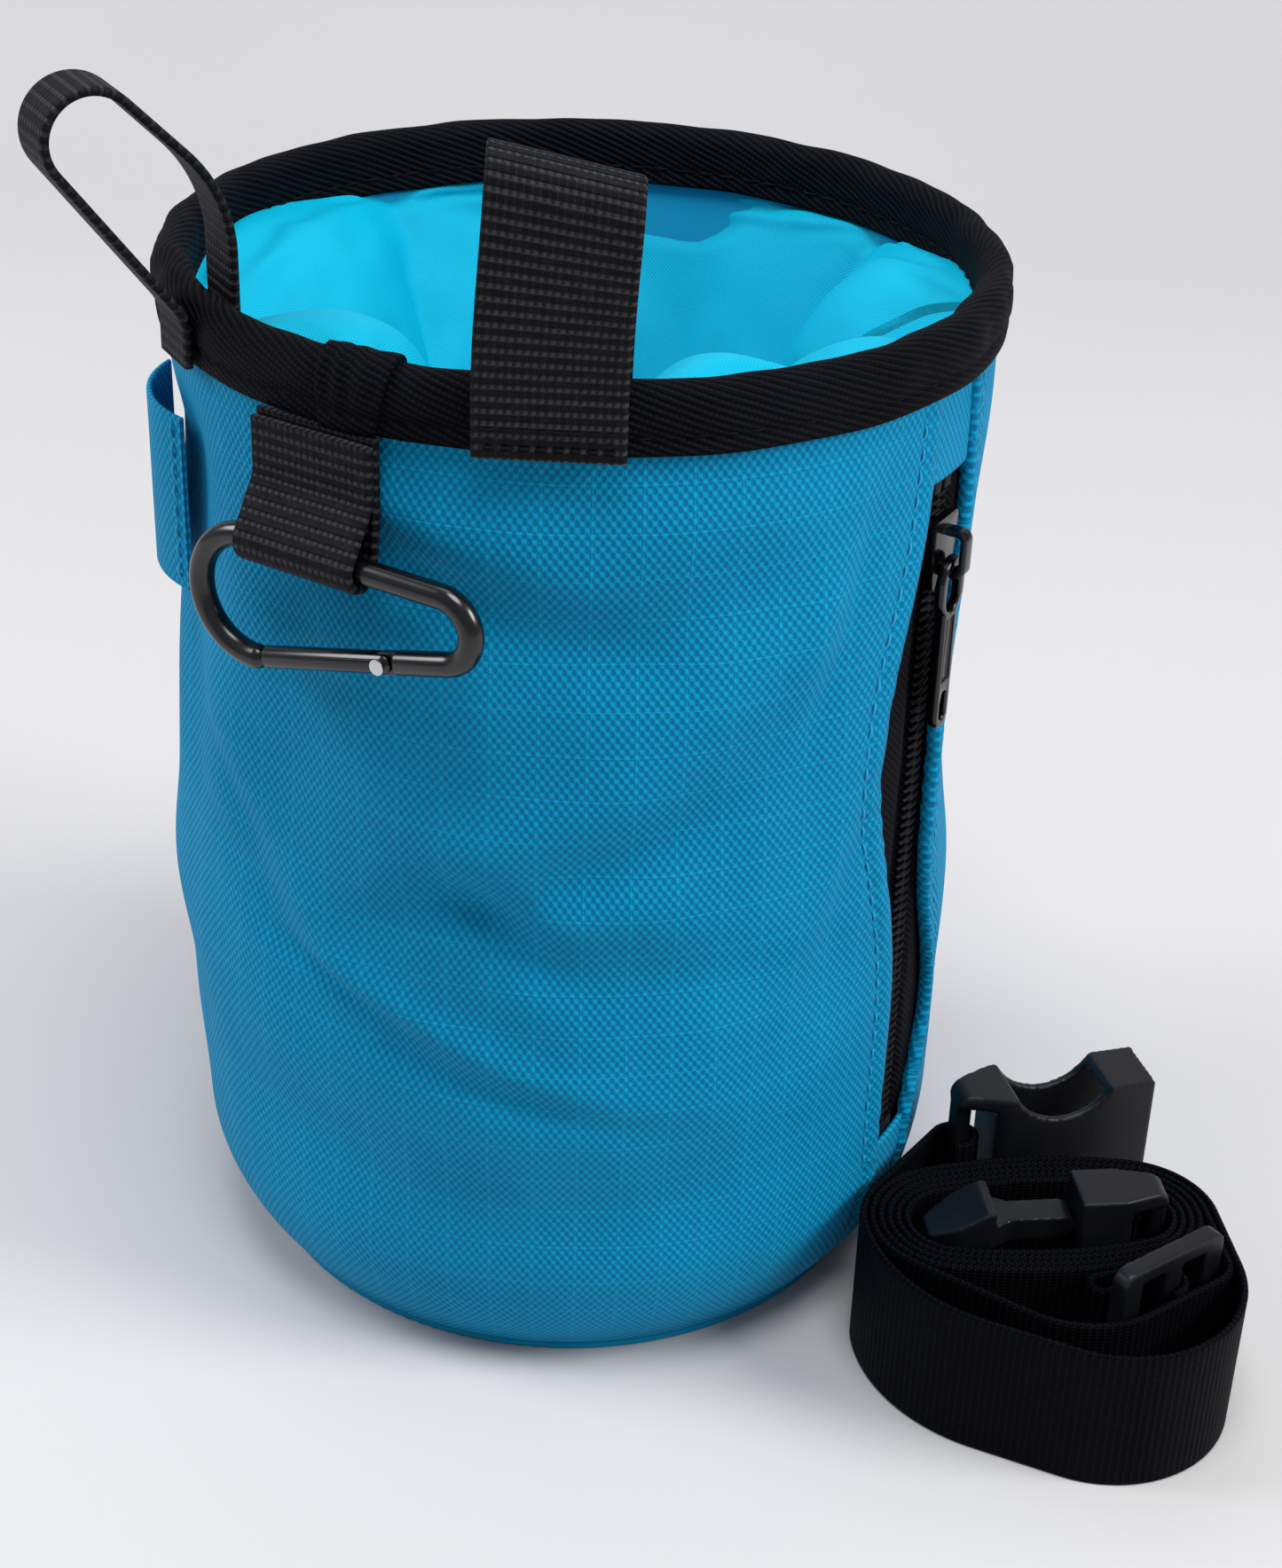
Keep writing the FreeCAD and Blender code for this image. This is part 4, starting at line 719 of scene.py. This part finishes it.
def make_front_loop():
    half_width, half_gap, middle, leg = 10.0, 4.8, 59.5, 9.5
    offset = WEBBING_GAP + WEBBING_THICKNESS / 2
    inner = math.sqrt(INNER_RADIUS ** 2 - half_width ** 2) - offset
    outer = RIM_RADIUS + offset
    rise = 30 - half_gap - WEBBING_THICKNESS
    reach = half_gap + WEBBING_THICKNESS / 2
    out, back = middle + reach - outer, inner - middle + reach
    lean_out = math.degrees(math.atan2(out, rise))
    lean_in = math.degrees(math.atan2(back, rise))
    pieces = [(leg, None), (2.0, lean_out), (math.hypot(rise, out) - 1, None),
              (2.0, -lean_out), (reach, -180), (2.0, -lean_in),
              (math.hypot(rise, back) - 1, None), (2.0, lean_in), (leg, None)]
    item = radial_strap("front_loop_strap", pieces, (outer, FOOT), 90, 2 * half_width, -90,
                        twist_front_loop)
    dress(item, WEBBING, "front_loop", slot="webbing")
    x = np.linspace(-9.0, 9.0, 60)
    outs = np.tile([0.0, -1.0, 0.0], (len(x), 1))
    for name, z in (("front_loop_stitch_low", 158.6), ("front_loop_stitch_high", 161.0)):
        stitches(name, stacked(x, -outer - 0.72, z), outs, THREAD_BLACK, length=1.6, gap=0.6)


def make_side_loop():
    width, eye, lean = 10.0, 6.5, 45.0
    inside = math.sqrt(INNER_RADIUS ** 2 - (width / 2) ** 2) - WEBBING_GAP - WEBBING_THICKNESS / 2
    outside = RIM_RADIUS + WEBBING_GAP + WEBBING_THICKNESS / 2
    start = (inside, FOOT)
    legs = [(15.0, None), (20.0, lean)]
    x = march(legs, start, 90)[-1][0]
    top_run = (18.5 + RIM_RADIUS - eye * (1 + math.sin(lean * DEGREE)) - x)
    legs += [(top_run / math.cos(lean * DEGREE), None), (eye, 172.0)]
    x, y, angle = march(legs, start, 90)[-1][:3]
    bend = 172.0 - 90 - lean
    bend_width = 6.0 * (1 - math.cos(bend * DEGREE))
    legs += [((x - outside - bend_width) / -math.cos(angle), None), (6.0, -bend)]
    legs += [(march(legs, start, 90)[-1][1] - FOOT, None)]
    item = radial_strap("side_loop_strap", legs, start, 90, width, -148)
    dress(item, WEBBING, "side_loop", slot="webbing")


def make_sleeve():
    """The brush sleeve: a band bowed out from the wall between its two sewn edges."""
    half, wall, bulge, angle = 12.5, 0.8, 3.4, -164
    seat = math.sqrt(SHELL_RADIUS ** 2 - (half - 2 * wall) ** 2) + 0.2
    rise = SHELL_RADIUS + bulge - seat
    bow = (half * half + rise * rise) / (2 * rise)
    sweep = 2 * math.degrees(math.asin(half / bow)) - 4
    points, headings, marks = sampled(
        march([(bow - wall / 2, -sweep)], (0, 0), 90 - sweep / 2), 0.6)
    points[:, 0] += SHELL_RADIUS + bulge - wall / 2 - points[:, 0].max()
    points[:, 1] -= (points[0, 1] + points[-1, 1]) / 2
    verts, faces, uv = upright_strap(points, headings, marks, 132.5, wall, 27.0)
    item = mesh_object("brush_band", placed(verts, angle), faces, uv)
    dress(item, HEM, "brush_sleeve", slot="shell_cloth")
    z = np.linspace(120, 145, 60)
    for name, side in (("sleeve_stitch_front", 1), ("sleeve_stitch_back", -1)):
        line = placed(stacked(seat + 1.55, 10.6 * side, z), angle)
        outs = placed(np.tile([1.0, 0.35 * side, 0.0], (len(z), 1)), angle)
        stitches(name, line, outs, THREAD_BLUE, radius=0.2)


make_front_loop()
make_side_loop()
make_sleeve()


# Carabiner and its tab

def make_tab():
    """Two layers of webbing round the clip's spine, sewn under the rim."""
    offset, spine, rod = 65.4, 139.5, 1.75
    ring = rod + WEBBING_GAP + WEBBING_THICKNESS / 2
    inner_x = SHELL_RADIUS + 0.5 + WEBBING_THICKNESS / 2
    outer_x = inner_x + WEBBING_THICKNESS
    start = (inner_x, FOOT - 0.25)
    step_out = offset - ring - inner_x
    lean_in = math.degrees(math.atan2(step_out, 7.0))
    pieces = [(start[1] - spine - 6.2, None), (3.0, -lean_in),
              (math.hypot(7.0, step_out) - 1.2, None), (3.0, lean_in)]
    y = march(pieces, start, -90)[-1][1]
    pieces += [(y - spine, None), (ring, -212.0)]
    x, y, angle = march(pieces, start, -90)[-1][:3]
    turn = 90 - math.degrees(angle) % 360
    run = (x - outer_x) / -math.cos(angle)
    bend = 4.0 * math.tan(abs(turn) * DEGREE / 2)
    pieces += [(run - bend, None), (4.0, -turn)]
    y = march(pieces, start, -90)[-1][1]
    pieces += [(start[1] - y - 0.9, None)]
    item = radial_strap("carabiner_tab", pieces, start, -90, 20.0, -120)
    dress(item, WEBBING, "carabiner_loop", body="hang_loop", slot="webbing")


make_tab()


def skin(node, material, body, slot, bevel=0.0, voxel=0.0):
    """A copy of a CAD node with softened edges, shown in its place."""
    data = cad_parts[node].data.copy()
    data.name = node + "_skin"
    item = bpy.data.objects.new(node + "_skin", data)
    bpy.context.collection.objects.link(item)
    weld = item.modifiers.new("weld", "WELD")
    weld.merge_threshold = 0.00001
    if bevel:
        soft = item.modifiers.new("soft", "BEVEL")
        soft.width = bevel * MM
        soft.segments = 3
        soft.limit_method = "ANGLE"
        soft.angle_limit = math.radians(35)
        soft.use_clamp_overlap = True
    if voxel:
        cells = item.modifiers.new("cells", "REMESH")
        cells.mode = "VOXEL"
        cells.voxel_size = voxel * MM
        melt = item.modifiers.new("melt", "SMOOTH")
        melt.factor = 0.5
        melt.iterations = 5
    graph = bpy.context.evaluated_depsgraph_get()
    item.data = bpy.data.meshes.new_from_object(item.evaluated_get(graph))
    item.modifiers.clear()
    item.data.polygons.foreach_set("use_smooth", [True] * len(item.data.polygons))
    item.data.set_sharp_from_angle(angle=math.radians(40))
    dress(item, material, node, body=body, slot=slot)


skin("carabiner_body", ANODISED, "carabiner", "carabiner_metal", 0.15)
skin("carabiner_gate", ANODISED, "gate", "carabiner_metal", 0.15)
skin("gate_rivet", STEEL, "carabiner", "rivet_steel", 0.1)
skin("zip_slider", ENAMEL, "slider", "zip_metal", 0.3)
skin("zip_pull", ENAMEL, "pull", "zip_metal", 0.35)
for plastic in (("buckle_male", "belt", 0.6, 0.3), ("buckle_arm_upper", "arm_upper", 0.6, 0.3),
                ("buckle_arm_lower", "arm_lower", 0.6, 0.3), ("buckle_female", "belt", 0.7, 0.4),
                ("tri_glide", "belt", 0.7, 0.35)):
    skin(plastic[0], BUCKLE, plastic[1], "buckle_plastic", *plastic[2:])


# Zip

def make_tape(name, node, edge, side):
    """One tape, two layers of cloth, as wide as the opening of the wall needs."""
    z = np.linspace(26, 145, 120)[:, None]
    opening = np.abs(edge_angle(edge, z) - ZIP_ANGLE) * DEGREE * SHELL_RADIUS
    reach = np.maximum(12.2, opening + 3.0)
    share = np.linspace(0, 1, 16)[::side]
    y = side * (0.5 + share * (reach - 0.5))
    fold = 0.16 * np.sin(y * 2.1 + z * 0.05) + 0.12 * np.sin(z / 7.0)
    lift = 1.0 * smoothstep(np.abs(y), 3.2, 5.6) + fold * smoothstep(np.abs(y), 3, 6)
    flat = 57.85 + lift * smoothstep(z, 26, 34) * (1 - smoothstep(z, 138, 144))
    x = np.minimum(flat, np.sqrt(59.0 ** 2 - y ** 2))
    faces = grid_faces(*y.shape)
    uv = stacked(z, y)
    item = joined(name, [
        (placed(stacked(x, y, z), ZIP_ANGLE), faces, uv),
        (placed(stacked(x - 0.6, y, z), ZIP_ANGLE), [face[::-1] for face in faces], uv)])
    dress(item, TAPE, node, slot="zip_tape")


def make_teeth(node, side, start):
    """A row of moulded teeth, each a short rod across the tape with a blunt head."""
    ring = np.linspace(0, 2 * math.pi, 9)[:-1]
    reach = np.array([2.5, 2.4, 1.6, 0.6, -0.3, -0.55])[:, None] * side
    size = np.array([0.2, 0.42, 0.42, 0.42, 0.5, 0.15])[:, None]
    high = np.array([58.5, 58.5, 58.6, 58.6, 58.55, 58.5])[:, None]
    faces = grid_faces(len(reach), len(ring), close_columns=True)
    blocks = []
    for z in np.arange(start, 139.6, 1.5):
        verts = stacked(high + size * np.cos(ring) * 1.1, reach, z + size * 0.8 * np.sin(ring))
        blocks.append((placed(verts, ZIP_ANGLE), faces, None))
    dress(joined(node + "_teeth", blocks), TEETH, node, slot="zip_teeth")


make_tape("tape_left", "zip_tape_left", LEFT_EDGE, -1)
make_tape("tape_right", "zip_tape_right", RIGHT_EDGE, 1)
make_teeth("zip_coil_left", -1, 30.6)
make_teeth("zip_coil_right", 1, 31.35)
for stop_node in ("zip_top_stops", "zip_bottom_stop"):
    skin(stop_node, TEETH, "bag", "zip_teeth", 0.3)


# Inside

skin("liner", LINING, "bag", "lining_cloth")
skin("pocket_lining", LINING, "bag", "lining_cloth")
skin("rim_hoop", HOOP, "bag", "hoop_plastic")
skin("base_panel", HEM, "bag", "shell_cloth")


# Grid of the closing sleeve, and its way down from the rim to the throat
COLLAR_ROWS, COLLAR_COLUMNS = 50, 170
COLLAR_DEPTH = 62.0
# Puffs of the sleeve: angle round the bag, half width in degrees, share pushed in
PUFFS = ((160, 34, 0.80), (12, 26, 0.80), (-30, 22, 0.86), (-62, 24, 1.0), (-98, 22, 0.94),
         (-134, 24, 1.0), (122, 20, 0.22), (88, 18, 0.14), (52, 20, 0.24))
# Ways down the sleeve as (radius, height), along the wall and over a puff
WALL_PATH = ((57.4, 157.6), (56.2, 152.0), (54.6, 142.0), (51.0, 131.0), (44.0, 122.0),
             (35.0, 117.0), (27.0, 113.0))
PUFF_PATH = ((57.4, 157.6), (53.5, 161.0), (46.0, 163.5), (36.0, 161.5), (28.5, 155.0),
             (25.0, 145.0), (24.0, 130.0), (27.0, 113.0))


def way_down(path, share):
    """Places along a path at shares of its length, rounded off."""
    path = np.array(path)
    marks = np.concatenate([[0], np.cumsum(np.hypot(*np.diff(path, axis=0).T))])
    marks /= marks[-1]
    ease = np.clip(share * (1 - share) * 8, 0, 1)
    out = np.zeros((len(share), 2))
    for shift in (-0.07, -0.035, 0.0, 0.035, 0.07):
        place = share + shift * ease
        out += stacked(*(np.interp(place, marks, column) for column in path.T)) / 5
    return out


def collar_form():
    """The drawn-in sleeve before it settles: soft puffs that meet in valleys."""
    sharpness = 12
    phi = np.linspace(0, 360, COLLAR_COLUMNS + 1)[:-1]
    share = np.linspace(0, 1, COLLAR_ROWS)
    wall = way_down(WALL_PATH, share)[:, None, :]
    puff = way_down(PUFF_PATH, share)[:, None, :]
    total = np.zeros((COLLAR_ROWS, COLLAR_COLUMNS))
    for place, half, strength in PUFFS:
        lean = 7 * np.sin(math.radians(place * 3)) * share[:, None]
        gap = (phi[None, :] - place - lean + 180) % 360 - 180
        bell = strength * np.sqrt(np.clip(1 - (gap / half) ** 2, 0, None) + 0.004)
        total += np.exp(bell * sharpness) - 1
    push = np.clip(np.log(total + 1) / sharpness, 0, 1)[:, :, None]
    place = wall * (1 - push) + puff * push
    turn = np.radians(phi)
    gather = 1.4 * smoothstep(share, 0.5, 1.0)[:, None]
    radius = place[:, :, 0] + gather * np.sin(turn * 24 + np.sin(turn * 3) * 2)
    return polar(phi, radius, place[:, :, 1])


def settle_collar(item, frames=6, grow=-0.045):
    """Let the sleeve buckle and settle as cloth against the wall, and keep the result.
    The cloth solver works better at ten times the size."""
    scale = 10.0
    item.data.transform(Matrix.Scale(scale, 4))
    count = COLLAR_ROWS * COLLAR_COLUMNS
    pins = item.vertex_groups.new(name="pins")
    pins.add(list(range(COLLAR_COLUMNS)), 1.0, "REPLACE")
    pins.add(list(range(count - COLLAR_COLUMNS, count)), 1.0, "REPLACE")
    wall = polar(np.linspace(0, 360, 97)[:-1], 57.5, np.array([[70.0], [172.0]]))
    wall_item = mesh_object("wall_stop", wall, grid_faces(2, 96, close_columns=True))
    wall_item.data.transform(Matrix.Scale(scale, 4))
    wall_item.modifiers.new("Collision", "COLLISION")
    wall_item.collision.thickness_outer = 0.004
    wall_item.collision.cloth_friction = 8
    cloth = item.modifiers.new("Cloth", "CLOTH")
    rules = cloth.settings
    rules.quality = 6
    rules.mass = 0.12
    rules.air_damping = 3.0
    rules.tension_stiffness = rules.compression_stiffness = 25
    rules.tension_damping = rules.compression_damping = 8
    rules.shear_stiffness = rules.shear_damping = 8
    rules.bending_stiffness = 12.0
    rules.bending_damping = 0.6
    rules.vertex_group_mass = "pins"
    rules.shrink_min = grow
    rules.effector_weights.gravity = 0.0
    contact = cloth.collision_settings
    contact.collision_quality = 3
    contact.distance_min = 0.004
    contact.use_self_collision = True
    contact.self_distance_min = 0.006
    contact.self_friction = 4
    cloth.point_cache.frame_start = 1
    cloth.point_cache.frame_end = frames
    scene = bpy.context.scene
    for frame_number in range(1, frames + 1):
        scene.frame_set(frame_number)
    graph = bpy.context.evaluated_depsgraph_get()
    result = bpy.data.meshes.new_from_object(item.evaluated_get(graph))
    item.modifiers.clear()
    item.vertex_groups.clear()
    item.data = result
    scene.frame_set(1)
    item.data.transform(Matrix.Scale(1 / scale, 4))
    stop = wall_item.data
    bpy.data.objects.remove(wall_item)
    bpy.data.meshes.remove(stop)


def make_collar():
    turn = np.linspace(0, 2 * math.pi, COLLAR_COLUMNS + 1)[:-1]
    depth = np.linspace(0, COLLAR_DEPTH, COLLAR_ROWS)[:, None]
    item = mesh_object("closing_sleeve", collar_form(),
                       grid_faces(COLLAR_ROWS, COLLAR_COLUMNS, close_columns=True),
                       stacked(turn * INNER_RADIUS, depth))
    settle_collar(item)
    dress(item, COLLAR, "closure_collar", slot="collar_cloth")
    smoother = item.modifiers.new("smoother", "SUBSURF")
    smoother.levels = 1
    smoother.render_levels = 1
    thicken(item, 0.3)


make_collar()


# Belt

BELT_WIDTH = 25.0
BELT_THICKNESS = 0.85
SHOWN_THICKNESS = 1.15
TAIL_ANGLE = -61


def normal_at(angle):
    return math.cos(math.radians(angle)), math.sin(math.radians(angle))


# Where the roll stands, and how it is turned
ROLL_PLACE = [89.5 * part for part in normal_at(-28.2)]
ROLL_TURN = 9.0


def solve_turn(centre, turn, target):
    """Pieces of one turn of the roll, from arcs (radius, normal in, normal out) and lines
    (length, normal). The two lengths given as None are found so that the last arc's middle
    falls on the target."""
    x, y = centre
    last_radius = None
    runs = []
    for item in turn:
        if len(item) == 3:
            if last_radius is not None:
                nx, ny = normal_at(item[1])
                x += (last_radius - item[0]) * nx
                y += (last_radius - item[0]) * ny
            last_radius = item[0]
            continue
        hx, hy = normal_at(item[1] - 90)
        if item[0] is None:
            runs.append((hx, hy))
        else:
            x += item[0] * hx
            y += item[0] * hy
    dx, dy = target[0] - x, target[1] - y
    (ax, ay), (bx, by) = runs
    area = ax * by - bx * ay
    lengths = [(dx * by - dy * bx) / area, (ax * dy - ay * dx) / area]
    pieces = []
    for item in turn:
        if len(item) == 3:
            pieces.append((item[0], item[1] - item[2]))
        else:
            pieces.append((lengths.pop(0) if item[0] is None else item[0], None))
    return pieces


def belt_path():
    """The rolled belt's path, the bars of the buckle's halves, and the stretch of the path
    that carries the adjuster."""
    growth = 1.35 / 4
    sweep, out = 26.0, 77.0
    back = -180 - out
    hook = math.hypot(1.3, 1.8) + 0.3 + BELT_THICKNESS / 2
    start = (14.0, -2.0)

    def crown(turn):
        return (70.0 + growth * turn, sweep)

    def end(turn):
        return 7.0 + growth * turn

    def centre_of(step):
        return beside(*step[:4])

    pieces = [(2.0, None), (hook, 180), (end(-1), out)]
    pieces += [crown(turn) if turn % 2 == 0 else (end(turn), 180 - sweep) for turn in range(15)]
    core = len(pieces)
    left = centre_of(march(pieces, start, 90)[-3])

    def right_centre(turn):
        x, y = march(pieces, start, 90)[-1][:2]
        across, along = normal_at(out)
        return x - end(turn) * across, y - end(turn) * along

    pieces += solve_turn(right_centre(15), [(end(15), out, 0), (None, 0), (4.5, 0, TAIL_ANGLE),
                                            (15.0, TAIL_ANGLE), (16.0, TAIL_ANGLE, -130),
                                            (None, -130),
                                            (end(17), -130, back)], left)
    pieces.append(crown(18))
    pieces += solve_turn(right_centre(19), [(end(19), out, 0), (None, 0), (20.0, 0, -120),
                                            (None, -120), (28.0, -120, -180),
                                            (end(21), -180, -222)], left)
    pieces += [(18.4, None), (4.0, 39.5), (0.5, None), (hook, 180), (1.6, None)]
    steps = march(pieces, start, 90)
    return steps, centre_of(steps[1]), centre_of(steps[-3]), steps[core + 3]


def flat_strap(name, path, place, angle, rails):
    """A strap on edge on the floor, drawn in a frame of its own. rails are boxes, in that
    frame, where its lower edge is lifted over a buckle's side rail."""
    half = BELT_WIDTH / 2
    points, headings, marks = sampled(path, 0.5)
    low = np.full(len(points), -half)
    for low_x, high_x, half_depth, centre, rail_angle in rails:
        x, y = placed(points - centre, -rail_angle).T
        inside = (x > low_x) & (x < high_x) & (np.abs(y) < half_depth)
        low = np.where(inside, -half + 3.05, low)
    verts, faces, uv = upright_strap(points, headings, marks, half, SHOWN_THICKNESS,
                                     BELT_WIDTH, low)
    verts = placed(placed(verts, angle, place), ROLL_TURN, ROLL_PLACE)
    return mesh_object(name, verts, faces, uv)


def make_belt():
    steps, plug, socket, run = belt_path()
    strap = flat_strap("belt_strap", steps, (0, 0), 0,
                       [(-5.0, 1.6, 4.5, plug, 0), (-1.6, 5.0, 4.5, socket, 8.5)])
    dress(strap, BELT, "belt_webbing", body="belt", slot="belt_webbing")
    x, y, angle, length = run[:4]
    nx, ny = normal_at(TAIL_ANGLE)
    place = (x + length / 2 * math.cos(angle) - 4.4 * nx,
             y + length / 2 * math.sin(angle) - 4.4 * ny)
    hook = math.hypot(1.7, 1.5) + BELT_THICKNESS / 2 + 0.3
    fold = march([(1.2, None), (hook, -180), (8.5, None), (1.9, 199), (5.0, None)],
                 (-1.2, -hook), 0)
    tail = flat_strap("belt_tail_strap", fold, place, TAIL_ANGLE + 90,
                      [(-10.5, 10.5, 1.8, (0, 0), 0)])
    dress(tail, BELT, "belt_tail", body="belt", slot="belt_webbing")


make_belt()


# Studio

def make_stage():
    """A pale floor that rises into a backdrop behind the bag."""
    reach, radius = 3000.0, 500.0
    turn = np.linspace(0, math.pi / 2, 24)[1:]
    depth = np.concatenate([np.linspace(-reach, radius, 30), radius + radius * np.sin(turn),
                            np.full(11, 2 * radius)])[:, None]
    height = np.concatenate([np.zeros(30), radius - radius * np.cos(turn),
                             np.linspace(radius, reach, 12)[1:]])[:, None]
    verts = stacked(np.linspace(-reach, reach, 8), depth, height)
    item = mesh_object("studio_floor", verts, grid_faces(len(depth), 8))
    paper = Paint("studio_paper", (0.56, 0.555, 0.56), 0.9, Specular_IOR_Level=0.05)
    paper.colour(paper.mix(paper.span(paper.noise(3.0), 0.3, 0.7), (0.55, 0.54, 0.55),
                           (0.58, 0.575, 0.58)))
    item.data.materials.append(paper.material)
    return item


def area_light(name, place, target, size, watts, colour=(1, 1, 1)):
    data = bpy.data.lights.new(name, "AREA")
    data.shape = "DISK"
    data.size = size
    data.energy = watts
    data.color = colour
    item = bpy.data.objects.new(name, data)
    item.location = place
    item.rotation_euler = (Vector(target) - Vector(place)).to_track_quat("-Z", "Y").to_euler()
    bpy.context.collection.objects.link(item)
    return item


def make_camera():
    """A pinhole camera in front of the bag, 3000 pixels from the 1768 pixel high image."""
    azimuth, pitch, roll = math.radians(2.0), math.radians(29.56), math.radians(2.03)
    back = Vector((math.sin(azimuth) * math.cos(pitch), -math.cos(azimuth) * math.cos(pitch),
                   math.sin(pitch)))
    right = Vector((math.cos(azimuth), math.sin(azimuth), 0))
    up = back.cross(right)
    place = Vector((0, 0, 74.68)) + right * 10.93 + back * 432.1
    right_rolled = right * math.cos(roll) + up * math.sin(roll)
    up_rolled = up * math.cos(roll) - right * math.sin(roll)
    data = bpy.data.cameras.new("camera")
    data.sensor_fit = "VERTICAL"
    data.sensor_height = 36.0
    data.lens = 3000 * 36 / 1768
    data.clip_start = 0.01
    data.clip_end = 20
    item = bpy.data.objects.new("camera", data)
    item.matrix_world = Matrix.Translation(place * MM) @ Matrix(
        (right_rolled, up_rolled, back)).transposed().to_4x4()
    bpy.context.collection.objects.link(item)
    bpy.context.scene.camera = item


def make_world():
    world = bpy.data.worlds.new("studio")
    bpy.context.scene.world = world
    world.use_nodes = True
    sky = world.node_tree.nodes["Background"].inputs
    sky["Color"].default_value = (0.9, 0.93, 1.0, 1)
    sky["Strength"].default_value = 0.35


floor = make_stage()
lights = [
    area_light("right_window", (0.95, -0.25, 0.75), (0, 0, 0.08), 0.5, 9.5, (1.0, 0.99, 0.97)),
    area_light("left_window", (-0.95, 0.05, 0.75), (0, 0, 0.08), 0.55, 6.5, (0.97, 0.98, 1.0)),
    area_light("overhead", (0.05, -0.3, 1.2), (0, 0, 0.1), 0.6, 8.0),
    area_light("backdrop_glow", (-0.2, 0.3, 1.1), (-0.1, 0.9, 0.1), 0.6, 2.0),
]
make_world()
make_camera()
bpy.context.scene.view_settings.view_transform = "Standard"
